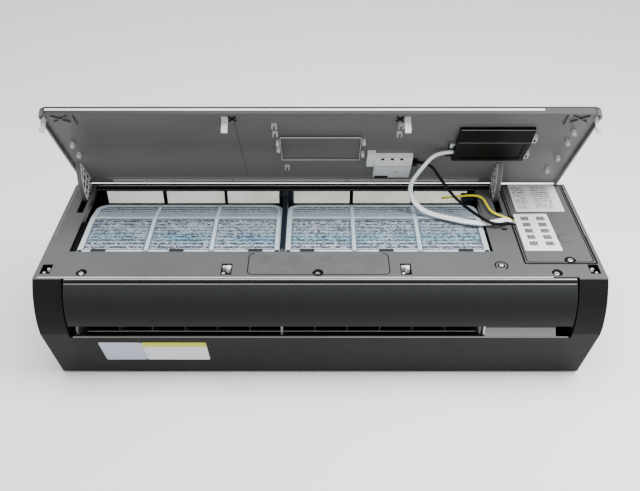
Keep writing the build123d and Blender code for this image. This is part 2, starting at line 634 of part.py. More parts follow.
def rear_casing():
    """Back plate with its rim, the scroll wall and the two end walls that carry the fan."""
    inner = casing_solid(WALL + FIT, 0.0)
    plate = inner & block((-HALF, HALF), (Y_LOW, Y_FAR), (0, BACK_PLATE))
    rim = inner & block((-HALF, HALF), (Y_LOW, Y_FAR), (0, BACK_RIM))
    rim -= casing_solid(WALL + FIT + BACK_RIM_WALL, -1.0)
    casing = plate + rim
    casing -= block(CHANNEL_X, CHANNEL_Y, (-1, BACK_PLATE + 1))
    casing -= end_notches()
    slot = extrude(SlotOverall(HOOK_SLOT_LENGTH, HOOK_SLOT_WIDTH), BACK_PLATE + 1, both=True)
    for x in HOOK_SLOT_X:
        casing -= Pos(x, Y_FAR - HOOK_SLOT_INSET, 0) * slot
    casing += along_x(band(scroll_line(), SCROLL_THICKNESS), AIR_PATH)
    for x in (AIR_PATH[0], AIR_PATH[1] - END_WALL):
        wall = along_x(end_wall_face(), (x, x + END_WALL))
        casing += wall - rod((x - 1, x + END_WALL + 1), FAN_CENTRE, BEARING_RADIUS + FIT)
    for y in (FAN_CENTRE[0] - MOTOR_RADIUS, FAN_CENTRE[0] + MOTOR_RADIUS - 12):
        casing += block(centred(MOTOR_MIDDLE, MOTOR_LENGTH - 30), (y, y + 12), (BACK_PLATE / 2, MOTOR_SEAT_Z))
    bosses, bores = vane_bosses()
    casing = casing + bosses - bores
    return casing - rod((MOTOR_START - 1, MOTOR_START + MOTOR_LENGTH + 1), FAN_CENTRE, MOTOR_RADIUS + FIT)


def end_wall_face():
    """An end wall of the air path, from the back plate to just under the coil."""
    y, z = FAN_CENTRE
    top, far = z + FAN_RADIUS - 2, y + FAN_RADIUS + SCROLL_GAP + 2.5
    return outline((y - THROAT_REACH, BACK_PLATE / 2), (far, BACK_PLATE / 2), (far, z + 10),
                   (y + END_WALL_FAR, top), (y - END_WALL_REACH, top), (y - END_WALL_REACH, z - FAN_RADIUS))


def outlet_duct():
    """Drain pan under the coil's low edge, the duct's front wall and its ends."""
    top = SOCKET_DEPTH + 1
    pan = from_lower_edge((46.5, 30), (46.5, 67), (84.5, 67), (92.5, 61), (90.5, 59.4), (83.5, 64.5),
                  (49, 64.5), (49, 30))
    tongue = from_lower_edge((84.5, 66), (84.5, 72), (91.5, 79), (92.5, 77), (87.5, 71), (87.5, 64))
    roof = from_lower_edge((46.5, 64), (34.5, 33), (32.5, top), (30.5, top), (30.5, 34), (44.5, 67), (49, 67))
    span = (DUCT_LEFT, DUCT_RIGHT)
    body = along_x(pan, span) + along_x(tongue, span) + along_x(roof, span)
    pan_end = from_lower_edge((46.5, 61), (46.5, 67), (84.5, 67), (90.5, 61))
    duct_end = from_lower_edge((44.5, 67), (38.5, 80), (16.5, 86), (12.5, 98), (32.5, 124), (62.5, 144),
                               (84.5, 152), (91.5, 79), (84.5, 66))
    for x in (DUCT_LEFT, DUCT_RIGHT - END_WALL):
        body += along_x(pan_end, (x, x + END_WALL))
        body += along_x(duct_end, (x, x + END_WALL))
    return body


def chin_inner(z):
    """Y of the inside of the chin wall at a height."""
    return CHIN_FOOT[0] + (KINK[0] - CHIN_FOOT[0]) * z / KINK_Z + WALL


def duct_end_block():
    """The plain filler between the end of the air path and the right cheek."""
    low, high = CHIN_TOP_Z - 17.0, CHIN_TOP_Z - 1.0
    back = Y_LOW + 52.5
    face = outline((chin_inner(low), low), (chin_inner(high), high), (Y_LOW + 14.5, high + 11),
                   (Y_LOW + 30.5, high + 15), (back, high + 28), (back, low))
    return along_x(face, (DUCT_RIGHT + 5, OUTLET_HALF - 22))


def louver_post():
    """Plate that hangs from the duct's front wall and carries the louver's middle pivot."""
    face = from_lower_edge((16, 48), (18.5, 40), (30.5, 22), (30.5, 34), (38.1, 52), (24.5, 51.5),
                   (18.5, 51.5))
    post = along_x(face, centred(BAY_RIB_X, 3))
    return post - rod(centred(BAY_RIB_X, 5), LOUVER_PIVOT, PIVOT_RADIUS + PIVOT_CLEARANCE)


# ================================================================ louver

def louver_face():
    """The louver's end profile: the nose between the face and the outlet gap."""
    top = (Y_NEAR + 2.5, FACE - 0.8)
    nose = (Y_LOW + 2.2, (KINK_Z + FACE) / 2 + 6.0)
    low = (Y_LOW + 0.8, CHIN_TOP_Z + LOUVER_GAP)
    inner_low = (Y_LOW + 3.4, CHIN_TOP_Z + LOUVER_GAP + 0.8)
    inner = (Y_LOW + 2.2 + LOUVER_THICKNESS, (KINK_Z + FACE) / 2 + 6.0)
    inner_top = (Y_NEAR + 2.8, FACE - 3.4)
    return make_face(Curve() + [ThreePointArc(top, nose, low), Line(low, inner_low),
                                ThreePointArc(inner_low, inner, inner_top), Line(inner_top, top)])


def louver():
    y, z = LOUVER_PIVOT
    blade = along_x(louver_face(), (-LOUVER_HALF, LOUVER_HALF))
    for x in LOUVER_ARMS_X[::2]:
        arm = outline((y - 15, z + 12), (y - 3, z + 5), (y + 4, z + 2), (y + 4, z - 3), (y - 3, z - 5),
                      (y - 15, z - 8))
        blade += along_x(arm, centred(x, LOUVER_ARM_WIDTH))
        out = math.copysign(1.0, x)
        pin = sorted((x, x + out * PIVOT_LENGTH))
        blade += rod(pin, LOUVER_PIVOT, PIVOT_RADIUS)
    for side in (-1, 1):
        x = BAY_RIB_X + side * 4.5
        arm = outline((y - 15, z + 10), (y + 3, z + 3.5), (y + 3, z - 3.5), (y - 15, z - 6))
        blade += along_x(arm, centred(x, 3.0))
    return blade + rod(centred(BAY_RIB_X, 8.0), LOUVER_PIVOT, PIVOT_RADIUS)


def louver_bearing():
    """Block behind the left cheek with the louver's end bore."""
    outer = -OUTLET_HALF - CHEEK_WALL
    span = (outer - 16.0, outer)
    solid = block(span, centred(LOUVER_PIVOT[0], 18), centred(LOUVER_PIVOT[1], 20))
    return solid - rod((span[0] + 3, span[1] + 1), LOUVER_PIVOT, PIVOT_RADIUS + PIVOT_CLEARANCE)


def louver_motor():
    """Small geared motor behind the right cheek, with the bore that the pivot turns in."""
    inner = OUTLET_HALF + CHEEK_WALL
    can = rod((inner, inner + 19.0), LOUVER_PIVOT, 13.0)
    can += block((inner, inner + 2), centred(LOUVER_PIVOT[0] + 3, 18), centred(LOUVER_PIVOT[1], 40))
    return can - rod((inner - 1, inner + 14), LOUVER_PIVOT, PIVOT_RADIUS + PIVOT_CLEARANCE)


# ================================================================ vanes

def vane_places(side):
    return [BAY_RIB_X + side * VANE_PITCH * n for n in range(1, VANES_PER_SIDE + 1)]


def vane(x):
    """One air guide; y of its own frame runs back up the air path, z along its pivot."""
    sheet = outline((-30, VANE_FOOT + 9), (-18, VANE_FOOT + 4), (-6, VANE_FOOT), (8, VANE_FOOT),
                    (8, VANE_TOP - 6), (VANE_CRANK + 2, VANE_TOP - 4), (VANE_CRANK + 2, VANE_TOP),
                    (-20, VANE_TOP), (-30, 8))
    blade = extrude(Plane.YZ * sheet, VANE_THICKNESS / 2, both=True)
    blade += stud(0, 0, (VANE_FOOT - 7, VANE_FOOT + 8), VANE_PIN_RADIUS)
    blade += stud(0, VANE_CRANK, (VANE_TOP - 3, VANE_TOP + 5), VANE_PIN_RADIUS)
    return VANE_FRAME * (Pos(x, 0, 0) * blade)


def vane_bosses():
    """Bosses on the scroll wall that the vanes' pivot pins stand in, and their bores."""
    bosses, bores = Part(), Part()
    for x in vane_places(-1) + vane_places(1):
        bosses += stud(x, 0, (VANE_FOOT - 10, VANE_FOOT - 1), 4.5)
        bores += stud(x, 0, (VANE_FOOT - 8, VANE_FOOT), VANE_PIN_RADIUS + VANE_PIN_CLEARANCE)
    return VANE_FRAME * bosses, VANE_FRAME * bores


def vane_link(side):
    """The bar that joins the five vanes of one side; its slots let the pins move on an arc."""
    places = vane_places(side)
    rise = VANE_CRANK * (1 - math.cos(math.radians(VANE_SWING)))
    y_middle = VANE_CRANK - rise / 2
    z_span = (VANE_TOP + 0.6, VANE_TOP + 0.6 + LINK_THICKNESS)
    bar = block((min(places) - 8, max(places) + 8), centred(y_middle, LINK_WIDTH + rise), z_span)
    hole = 2 * (VANE_PIN_RADIUS + LINK_CLEARANCE)
    for x in places:
        bar -= block(centred(x, hole), centred(y_middle, hole + rise), (z_span[0] - 1, z_span[1] + 1))
    return VANE_FRAME * bar


# ================================================================ fan and motor

def blade_face():
    """One curved blade of the rotor, drawn on the +Y side of the fan's centre."""
    inner = FAN_RADIUS - BLADE_DEPTH
    lean = math.radians(BLADE_LEAN / 2)
    tip = (FAN_RADIUS - 0.4, 0.0)
    root = (inner * math.cos(lean) + 0.4, -inner * math.sin(lean))
    middle = ((tip[0] + root[0]) / 2 + 0.6, (tip[1] + root[1]) / 2 + 1.8)
    tip_back = (tip[0] - 0.1, tip[1] + BLADE_THICKNESS / 2)
    root_back = (root[0] - 0.3, root[1] + BLADE_THICKNESS / 2)
    middle_back = (middle[0] - 0.5, middle[1] + BLADE_THICKNESS)
    return make_face(Curve() + [ThreePointArc(tip, middle, root), Line(root, root_back),
                                ThreePointArc(root_back, middle_back, tip_back), Line(tip_back, tip)])


def fan_rotor():
    """Cross-flow rotor: rings, curved blades between them and an end hub."""
    blade = blade_face()
    blades = Sketch() + [Rot(0, 0, 360 / FAN_BLADES * n) * blade for n in range(FAN_BLADES)]
    ring = Circle(FAN_RADIUS) - Circle(FAN_RADIUS - BLADE_DEPTH - 2)
    end = Circle(FAN_RADIUS) - Circle(SHAFT_RADIUS)
    hub = Circle(FAN_HUB_RADIUS) - Circle(SHAFT_RADIUS)
    pitch = (FAN_RIGHT - FAN_LEFT - FAN_DISC) / FAN_SEGMENTS
    rotor = along_x(blades, (FAN_LEFT + FAN_DISC / 2, FAN_RIGHT - FAN_DISC / 2))
    for n in range(FAN_SEGMENTS + 1):
        x = FAN_LEFT + n * pitch
        rotor += along_x(end if n in (0, FAN_SEGMENTS) else ring, (x, x + FAN_DISC))
    rotor += along_x(hub, (FAN_RIGHT - 14, FAN_RIGHT - FAN_DISC / 2))
    rotor += along_x(hub, (FAN_LEFT + FAN_DISC / 2, FAN_LEFT + 10))
    return Pos(0, *FAN_CENTRE) * rotor


def fan_axles():
    """The stub in the left bearing and the motor's shaft, both fixed in the rotor."""
    return group(rod((FAN_LEFT - 12, FAN_LEFT + 10), FAN_CENTRE, SHAFT_RADIUS),
                 rod((FAN_RIGHT - 14, MOTOR_START + 30), FAN_CENTRE, SHAFT_RADIUS))


def fan_bearing():
    """Ring in the left end wall that the fan's axle turns in."""
    low = FAN_LEFT - 12
    ring = rod((low - 6, low + 6), FAN_CENTRE, BEARING_RADIUS)
    return ring - rod((low - 4, low + 7), FAN_CENTRE, SHAFT_RADIUS + BEARING_CLEARANCE)


def fan_motor():
    can = rod((MOTOR_START, MOTOR_START + MOTOR_LENGTH), FAN_CENTRE, MOTOR_RADIUS)
    can = fillet(can.edges().filter_by(GeomType.CIRCLE), 6)
    can += rod((MOTOR_START - 4, MOTOR_START + 2), FAN_CENTRE, MOTOR_NECK_RADIUS)
    return can - rod((MOTOR_START - 5, MOTOR_START + 32), FAN_CENTRE, SHAFT_RADIUS + BEARING_CLEARANCE)


def motor_clamp():
    """Strap over the motor, with feet on the rear casing's two seats."""
    inner = MOTOR_RADIUS + FIT
    x_span = centred(MOTOR_MIDDLE, 30)
    y = FAN_CENTRE[0]
    strap = rod(x_span, FAN_CENTRE, inner + 2.2)
    strap += block(x_span, (y - inner - 14, y + inner + 14), (MOTOR_SEAT_Z, MOTOR_SEAT_Z + 3))
    strap &= block(x_span, (y - 90, y + 90), (MOTOR_SEAT_Z, FACE))
    return strap - rod((x_span[0] - 1, x_span[1] + 1), FAN_CENTRE, inner)


# ================================================================ coil

def unit(start, end):
    length = math.dist(start, end)
    return ((end[0] - start[0]) / length, (end[1] - start[1]) / length)


def mitred(points, thickness, stretch=0.0):
    """A strip along a bent line with mitred corners; its ends run on by a stretch."""
    left, right = [], []
    last = len(points) - 1
    for n, point in enumerate(points):
        before = unit(points[max(n - 1, 0)], points[max(n, 1)])
        after = unit(points[min(n, last - 1)], points[min(n + 1, last)])
        turn = (before[0] + after[0], before[1] + after[1])
        size = math.hypot(*turn)
        reach = thickness / 2 / (size / 2)
        side = (-turn[1] / size * reach, turn[0] / size * reach)
        along = {0: -stretch, last: stretch}.get(n, 0.0)
        base = (point[0] + before[0] * along, point[1] + before[1] * along)
        left.append((base[0] + side[0], base[1] + side[1]))
        right.append((base[0] - side[0], base[1] - side[1]))
    return outline(*left, *reversed(right))


def evaporator():
    """The finned coil: a core with the fins standing from both its faces."""
    core = along_x(mitred(COIL_LINE, COIL_THICKNESS - 2 * FIN_GROOVE_DEPTH), (COIL_LEFT, COIL_RIGHT))
    fin = mitred(COIL_LINE, COIL_THICKNESS)
    count = round((COIL_RIGHT - COIL_LEFT) / FIN_PITCH)
    pitch = (COIL_RIGHT - COIL_LEFT + FIN_GROOVE) / count
    starts = [COIL_LEFT + n * pitch for n in range(count)]
    return core + [along_x(fin, (x, x + pitch - FIN_GROOVE)) for x in starts]


def coil_end_plates():
    face = mitred(COIL_LINE, COIL_THICKNESS + 2 * COIL_PLATE_MARGIN, COIL_PLATE_MARGIN)
    return group(along_x(face, (COIL_LEFT - COIL_PLATE, COIL_LEFT)),
                 along_x(face, (COIL_RIGHT, COIL_RIGHT + COIL_PLATE)))


def bend_places():
    """Middle and direction of each return bend along the coil's line."""
    places = []
    for start, end in zip(COIL_LINE, COIL_LINE[1:]):
        length = math.dist(start, end)
        way = unit(start, end)
        count = int((length - 8) / RETURN_BEND_PITCH)
        for n in range(count):
            along = (n + 0.5) * length / count
            places.append((start[0] + way[0] * along, start[1] + way[1] * along, way))
    return places


def end_bends(x, out):
    """Half-round tube ends that join the coil's tubes outside one end plate."""
    bends = []
    for y, z, way in bend_places():
        plane = Plane(origin=(x, y, z), x_dir=(0, *way), z_dir=(0, way[1] * out, -way[0] * out))
        path = plane * CenterArc((0, 0), RETURN_BEND_SPAN / 2, 0, 180)
        section = Plane(origin=path @ 0, z_dir=path % 0) * Circle(TUBE_RADIUS)
        bends.append(sweep(section, path))
    return bends


def return_bends():
    return group(*end_bends(COIL_LEFT - COIL_PLATE, -1), *end_bends(COIL_RIGHT + COIL_PLATE, 1))


# ================================================================ electrical end

def electrical_box():
    """Open tray that holds the board; its walls stand just inside the cover's edge."""
    x_span = (COVER_LEFT + BOX_GAP, COVER_RIGHT - BOX_GAP)
    y_span = (COVER_Y[0] + BOX_GAP, COVER_Y[1] - BOX_GAP)
    tray = block(x_span, y_span, (BOX_FLOOR, BOX_TOP))
    tray -= block((x_span[0] + BOX_WALL, x_span[1] - BOX_WALL), (y_span[0] + BOX_WALL, y_span[1] - BOX_WALL),
                  (BOX_FLOOR + BOX_WALL, BOX_TOP + 1))
    tray -= block(centred(x_span[0], 10), centred(ENTRY_Y, ENTRY_WIDTH), (BOX_TOP - 16, BOX_TOP + 1))
    for x in (x_span[0] + 12, x_span[1] - 12):
        for y in (y_span[0] + 40, y_span[1] - 20):
            tray += stud(x, y, (BOX_FLOOR + 1, BOX_FLOOR + BOARD_RISE), 3.5)
    post = stud(*COVER_SCREW, (BOX_FLOOR + 1, BOX_TOP), BOX_POST)
    return tray + post - stud(*COVER_SCREW, (BOX_TOP - 16, BOX_TOP + 1), SCREW_SHANK / 2)


def electrical_cover():
    """Flat lid over the electrical box, with its sunk screw seat and round dimple."""
    lid = block((COVER_LEFT, COVER_RIGHT), COVER_Y, (BOX_TOP, FACE))
    lid = fillet(lid.edges().filter_by(Axis.Z), 3)
    lid -= block(ENTRY_X, centred(ENTRY_Y, ENTRY_WIDTH), (BOX_TOP - 1, FACE + 1))
    lid -= stud(*COVER_SCREW, (FACE - COVER_SCREW_SINK, FACE + 1), SCREW_RECESS / 2)
    lid -= stud(*COVER_SCREW, (BOX_TOP - 1, FACE + 1), SCREW_SHANK / 2)
    rim = Circle(DIMPLE_RADIUS) - Circle(DIMPLE_RADIUS - 1.2)
    return lid + Pos(*DIMPLE, FACE) * extrude(rim, 0.7)


def control_board():
    """Printed board with its transformer, capacitor, relays and sockets."""
    low = BOX_FLOOR + BOARD_RISE
    top = low + BOARD_THICKNESS
    x0, x1 = COVER_LEFT + 6, COVER_RIGHT - 6
    y0, y1 = TERMINAL_Y + TERMINAL_LENGTH + 6, COVER_Y[1] - 8
    board = block((x0, x1), (y0, y1), (low, top))
    board += block((x0 + 8, x0 + 40), (y1 - 44, y1 - 14), (top, top + 22))
    board += stud(x1 - 22, y1 - 26, (top, top + 24), 11)
    for n in range(4):
        board += block((x0 + 6 + 22 * n, x0 + 22 + 22 * n), (y0 + 60, y0 + 72), (top, top + 14))
    for n in range(5):
        board += block((x0 + 5, x0 + 13), (y0 + 6 + 10 * n, y0 + 14 + 10 * n), (top, top + 9))
    return board


def terminal_block():
    """Row of screw terminals for the supply, at the near end of the box."""
    low = BOX_FLOOR + BOX_WALL
    y_span = (TERMINAL_Y, TERMINAL_Y + TERMINAL_LENGTH)
    base = block((TERMINAL_X, TERMINAL_X + TERMINALS * TERMINAL_PITCH + 2), y_span, (low, low + 12))
    for n in range(TERMINALS + 1):
        x = TERMINAL_X + n * TERMINAL_PITCH
        base += block((x, x + 2), y_span, (low + 12, low + 20))
    return base


def terminal_screws():
    low = BOX_FLOOR + BOX_WALL + 12
    places = [TERMINAL_X + 1 + (n + 0.5) * TERMINAL_PITCH for n in range(TERMINALS)]
    return group(*[stud(x, TERMINAL_Y + TERMINAL_LENGTH / 2, (low, low + 4), 3.6) for x in places])


# ================================================================ pipes

def copper_pipes():
    return group(pipe(GAS_ROUTE, GAS_BENDS, GAS_RADIUS, GAS_RADIUS - PIPE_WALL),
                 pipe(LIQUID_ROUTE, LIQUID_BENDS, LIQUID_RADIUS, LIQUID_RADIUS - PIPE_WALL))


def sleeve(place, outer, inner):
    span = (PIPE_END_X + SLEEVE_END, SLEEVE_RIGHT)
    return rod(span, place, outer) - rod((span[0] - 1, span[1] + 1), place, inner + PIPE_FIT)


def pipe_sleeves():
    return group(sleeve(GAS_LANE, GAS_SLEEVE, GAS_RADIUS), sleeve(LIQUID_LANE, LIQUID_SLEEVE, LIQUID_RADIUS))


def union(place, thread, tube):
    """Flare union on a pipe's end: hexagon, thread barrel and bore."""
    barrel = rod((PIPE_END_X - UNION_LENGTH, PIPE_END_X), place, thread)
    flats = Pos(*place) * RegularPolygon(thread + UNION_NUT_MARGIN, 6)
    nut = along_x(flats, (PIPE_END_X, PIPE_END_X + UNION_LENGTH))
    body = barrel + nut - rod((PIPE_END_X, PIPE_END_X + 2 * UNION_LENGTH), place, tube + SOLDER_FIT)
    return body - rod((PIPE_END_X - 2 * UNION_LENGTH, PIPE_END_X + 1), place, tube - PIPE_WALL)


def flare_unions():
    return group(union(GAS_LANE, GAS_UNION_RADIUS, GAS_RADIUS),
                 union(LIQUID_LANE, LIQUID_UNION_RADIUS, LIQUID_RADIUS))


def drain_elbow():
    points = [(DUCT_LEFT - 0.1, *HOSE_START), (HOSE_ELBOW_X, *HOSE_START), (HOSE_ELBOW_X, *HOSE_LANE),
              (HOSE_LEFT, *HOSE_LANE)]
    return pipe(points, [9, 9], HOSE_RADIUS, HOSE_BORE)


def drain_hose():
    """Ribbed hose: a plain start, rounded-off ribs, a wider cuff at the free end and a bore right through."""
    stations = [(0.0, HOSE_RADIUS)]
    x = 2 * HOSE_RADIUS
    stations.append((x, HOSE_RADIUS))
    for _ in range(HOSE_RIBS):
        stations += [(x + share * HOSE_PITCH, radius) for share, radius in HOSE_RIB]
        x += HOSE_PITCH
    stations += [(x + 0.5, HOSE_CUFF), (x + 2 * HOSE_RADIUS, HOSE_CUFF)]
    rings = [Plane.YZ.offset(HOSE_LEFT + place) * Pos(*HOSE_LANE) * Circle(radius)
             for place, radius in stations]
    skin = loft(rings, ruled=True)
    return skin - rod((HOSE_LEFT - 1, HOSE_LEFT + x + 3 * HOSE_RADIUS), HOSE_LANE, HOSE_BORE)


# ================================================================ filters

def filter_line():
    z = FACE - FILTER_DROP - FILTER_THICKNESS / 2
    bend = Y_FILTER + FILTER_FLAT
    lean = math.radians(FILTER_BEND)
    far = (bend + FILTER_SLOPE * math.cos(lean), z - FILTER_SLOPE * math.sin(lean))
    return ((Y_FILTER, z), (bend, z), far)


def filter_bays(x_span):
    """Windows of one filter as (place, sketch, net rows), each in the plane of its row."""
    _, bend, _ = filter_line()
    flat = Pos(0, Y_FILTER, bend[1])
    slope = Pos(0, *bend) * Rot(-FILTER_BEND, 0, 0)
    width = (x_span[1] - x_span[0] - 2 * FILTER_RIM - (FILTER_COLUMNS - 1) * FILTER_BAR) / FILTER_COLUMNS
    bays = []
    for n in range(FILTER_COLUMNS):
        low = x_span[0] + FILTER_RIM + n * (width + FILTER_BAR)
        across = (low, low + width)
        outer = {0: -1, FILTER_COLUMNS - 1: 1}.get(n, 0)
        near = window(across, (FILTER_RIM, FILTER_FLAT - FILTER_BAR / 2), 0)
        far = window(across, (FILTER_BAR / 2, FILTER_SLOPE - FILTER_RIM), outer)
        bays += [(flat, near, NET_FLAT_ROWS), (slope, far, NET_SLOPE_ROWS)]
    return bays


def window(across, along, outer):
    """One window; outer is the X side whose far corner is rounded, or 0 for none."""
    face = Pos(sum(across) / 2, sum(along) / 2) * Rectangle(across[1] - across[0], along[1] - along[0])
    if outer:
        corner = face.vertices().sort_by(Axis.Y)[2:].sort_by(Axis.X)[outer > 0]
        face = fillet(corner, FILTER_CORNER - FILTER_RIM)
    return face


def filter_frame(x_span):
    frame = along_x(mitred(filter_line(), FILTER_THICKNESS), x_span)
    corners = frame.faces().sort_by(Axis.Y)[-1].edges().sort_by(Axis.X)
    frame = fillet([corners[0], corners[-1]], FILTER_CORNER)
    for place, sketch, _ in filter_bays(x_span):
        frame -= place * extrude(sketch, FILTER_THICKNESS, both=True)
    return frame


def filter_net(x_span):
    """The net in each window, as one thin holed sheet to a window."""
    return group(*[place * net_sheet(sketch, rows) for place, sketch, rows in filter_bays(x_span)])


def net_sheet(sketch, rows):
    box = sketch.bounding_box()
    x_pitch = box.size.X / NET_COLUMNS
    y_pitch = box.size.Y / rows
    holes = [Pos(box.min.X + (i + 0.5) * x_pitch, box.min.Y + (j + 0.5) * y_pitch) *
             Rectangle(x_pitch - NET_BAR, y_pitch - NET_BAR) for i in range(NET_COLUMNS) for j in range(rows)]
    holes = (Sketch() + holes) & offset(sketch, -NET_BAR / 2)
    return extrude(sketch - holes, NET_THICKNESS / 2, both=True)


# ================================================================ front panel
def on_panel(shape):
    return PANEL * shape


def front_panel():
    middle = (HINGE_EDGE + FREE_EDGE) / 2
    sheet = Pos(0, middle) * Rectangle(2 * PANEL_HALF, PANEL_LENGTH)
    sheet = fillet(sheet.vertices().group_by(Axis.Y)[-1], PANEL_CORNER)
    plate = Pos(0, 0, INNER - PANEL_SKIN) * extrude(sheet, PANEL_SKIN)
    plate = fillet(plate.faces().sort_by(Axis.Z)[0].edges(), 4)
    wall = sheet - offset(sheet, -PANEL_RIM_WALL) - Pos(0, HINGE_EDGE) * Rectangle(2 * PANEL_HALF - 8, 20)
    rim = Pos(0, 0, INNER) * extrude(wall, PANEL_RIM)
    for x in CORNER_HOOK_X:
        rim -= block(centred(x, CORNER_HOOK + 2 * FIT), (HOOK_FOOT[0] - FIT, HOOK_FOOT[1] + FIT),
                     (INNER, INNER + PANEL_RIM + 1))
    plate += rim
    plate += panel_ribs()
    return on_panel(plate)


def panel_ribs():
    """Low ribs on the panel's inner face: the hinge-side strip, the holder and the corner crosses."""
    low, high = INNER - 0.5, INNER + 3.0
    ribs = block((-PANEL_HALF + 43, ARM_RIGHT_X - 20), (FLANGE_DEPTH, FLANGE_DEPTH + RIB), (low, high))
    for x in FLANGE_RIBS_X:
        ribs += block(centred(x, RIB), (HINGE_EDGE + 6, FLANGE_DEPTH + 1), (low, high))
    for y in HOLDER_Y:
        ribs += block(HOLDER_X, centred(y, RIB), (low, high))
    for x in HOLDER_X:
        ribs += block(centred(x, RIB), HOLDER_Y, (low, high))
    bar = block(centred(0, CROSS_LENGTH), centred(0, RIB), (low, high))
    for side in (-1, 1):
        middle = Pos(side * (PANEL_HALF - CROSS_INSET), FREE_EDGE - 22)
        ribs += [middle * Rot(0, 0, turn * CROSS_TURN) * bar for turn in (-1, 1)]
        ribs += block(centred(side * (PANEL_HALF - CORNER_RIB_INSET), RIB),
                      (FREE_EDGE - 40, FREE_EDGE - PANEL_RIM_WALL + 1), (low, high))
    return ribs


def hook(x, width):
    """Snap hook at the panel's free edge: a stem with a barb at its tip."""
    side = outline((HOOK_FOOT[0], INNER), (HOOK_FOOT[1], INNER), (HOOK_Y + 2, INNER + 6),
                   (HOOK_Y + 2, INNER + HOOK_REACH - 6), (HOOK_Y + 5, INNER + HOOK_REACH - 5),
                   (HOOK_Y + 1, INNER + HOOK_REACH), (HOOK_Y - 1, INNER + HOOK_REACH),
                   (HOOK_Y - 1, INNER + 6))
    return along_x(side, centred(x, width))


def panel_hooks():
    hooks = [hook(x, LATCH_HOOK) for x in LATCH_X] + [hook(x, CORNER_HOOK) for x in CORNER_HOOK_X]
    return on_panel(group(*hooks))


def clip(x, y, turn):
    """Small forked clip that a panel's lead or sheet is held by."""
    fork = outline((-4, 0), (4, 0), (4, 7), (2.2, 9), (2.2, 3), (-2.2, 3), (-2.2, 9), (-4, 7))
    body = extrude(Plane.XZ * fork, 2.5, both=True)
    return Pos(x, y, INNER) * Rot(0, 0, turn) * body


def panel_clips():
    """The forked clips and the two stops beside the display's housing."""
    clips = [clip(*place) for place in CLIP_PLACES]
    stop_x = (DISPLAY_X[1] + 1, DISPLAY_X[1] + 8)
    clips += [block(stop_x, centred(y, 13), (INNER, INNER + 8)) for y in DISPLAY_STOP_Y]
    return on_panel(group(*clips))


def hinge_arm(x):
    """Lattice quadrant on the panel that dips into the frame's slot and turns on a pin."""
    web = Curve() + [Line((14, INNER), (78, INNER)), ThreePointArc((78, INNER), (56, 8), (20, 25)),
                     Line((20, 25), (9, 25)), Line((9, 25), (-7, 3)), Line((-7, 3), (14, INNER))]
    face = make_face(web) + Circle(HINGE_PIN_RADIUS + 4)
    face -= outline((20, -13.5), (44, -13.5), (26, -1), (15, -5))
    face -= outline((49, -13.5), (70, -13.5), (56, -1), (34, -1.5))
    face -= outline((13, 3), (44, 4), (36, 12), (21, 20), (14, 20), (6.5, 9))
    face -= Circle(HINGE_PIN_RADIUS + HINGE_PIN_CLEARANCE)
    return on_panel(along_x(face, centred(x, ARM_THICKNESS)))


def hinge_pins():
    pins = []
    for x in (ARM_LEFT_X, ARM_RIGHT_X):
        pins.append(rod(centred(x, HINGE_PIN_LENGTH - 1), (HINGE_Y, HINGE_Z), HINGE_PIN_RADIUS))
    return group(*pins)


def display_box():
    """Wedge-topped housing of the display on the panel's inner face, with its fixing ears."""
    side = outline((DISPLAY_Y[0], INNER), (DISPLAY_Y[0], INNER + DISPLAY_DEPTH - 2),
                   (DISPLAY_Y[0] + 2, INNER + DISPLAY_DEPTH), (DISPLAY_FOLD, INNER + DISPLAY_DEPTH),
                   (DISPLAY_Y[1], INNER + DISPLAY_LIP), (DISPLAY_Y[1], INNER))
    body = along_x(side, DISPLAY_X)
    ear_x = (DISPLAY_X[0] - DISPLAY_EAR, DISPLAY_X[0] + 1)
    body += block(ear_x, centred(DISPLAY_EAR_Y, 14), (INNER, INNER + 4))
    body += block(ear_x, centred(DISPLAY_Y[0] + 6, 9), (INNER, INNER + 3))
    body -= block((DISPLAY_X[0] + 10, DISPLAY_X[1] - 8), (DISPLAY_Y[0] + 10, DISPLAY_FOLD - 6),
                  (INNER + DISPLAY_DEPTH - 1.2, INNER + DISPLAY_DEPTH + 1))
    return on_panel(body)


def wireless_module():
    """Folded plastic case of the radio board, with its end block."""
    side = outline((MODULE_Y[0], INNER), (MODULE_Y[0], INNER + 8), (MODULE_FOLD, INNER + MODULE_DEPTH),
                   (MODULE_Y[1], INNER + 7), (MODULE_Y[1], INNER))
    body = along_x(side, MODULE_X)
    body += block((MODULE_X[0] - 13, MODULE_X[0]), (MODULE_FOLD - 7, MODULE_Y[1] + 10), (INNER, INNER + 8))
    return on_panel(body)


def module_plug():
    across, along, height = PLUG_SIZE
    return on_panel(block((MODULE_X[1], MODULE_X[1] + across), centred(MODULE_FOLD + 1, along),
                          (INNER + 1, INNER + 1 + height)))


def manual_button():
    """Plunger in the near bar; its flange stops it under the face."""
    top = FACE + 0.6
    cap = stud(BUTTON_X, Y_NEAR + BUTTON_REACH, (FACE - 8, top), BUTTON_DIAMETER / 2)
    flange_top = FACE - WALL - BUTTON_CLEARANCE
    return cap + stud(BUTTON_X, Y_NEAR + BUTTON_REACH, (flange_top - BUTTON_FLANGE, flange_top),
                      BUTTON_DIAMETER / 2 + 1.5)


def button_switch():
    """Switch that the plunger presses, on its bracket under the near bar."""
    top = FACE - 8 - BUTTON_TRAVEL - 0.3
    return block(centred(BUTTON_X, 12), centred(Y_NEAR + BUTTON_REACH, 12), (top - 5, top))


def latch_catches():
    """White catches inside the two middle latch sockets."""
    catches = []
    for x in LATCH_X:
        y = Y_NEAR + LATCH_REACH
        base = FACE - SOCKET_DEPTH + 1.5
        catches.append(block(centred(x, LATCH_SOCKET[0] - 1), (y + 6.5, y + 12), (base, FACE - 2)))
    return group(*catches)


# ================================================================ cables

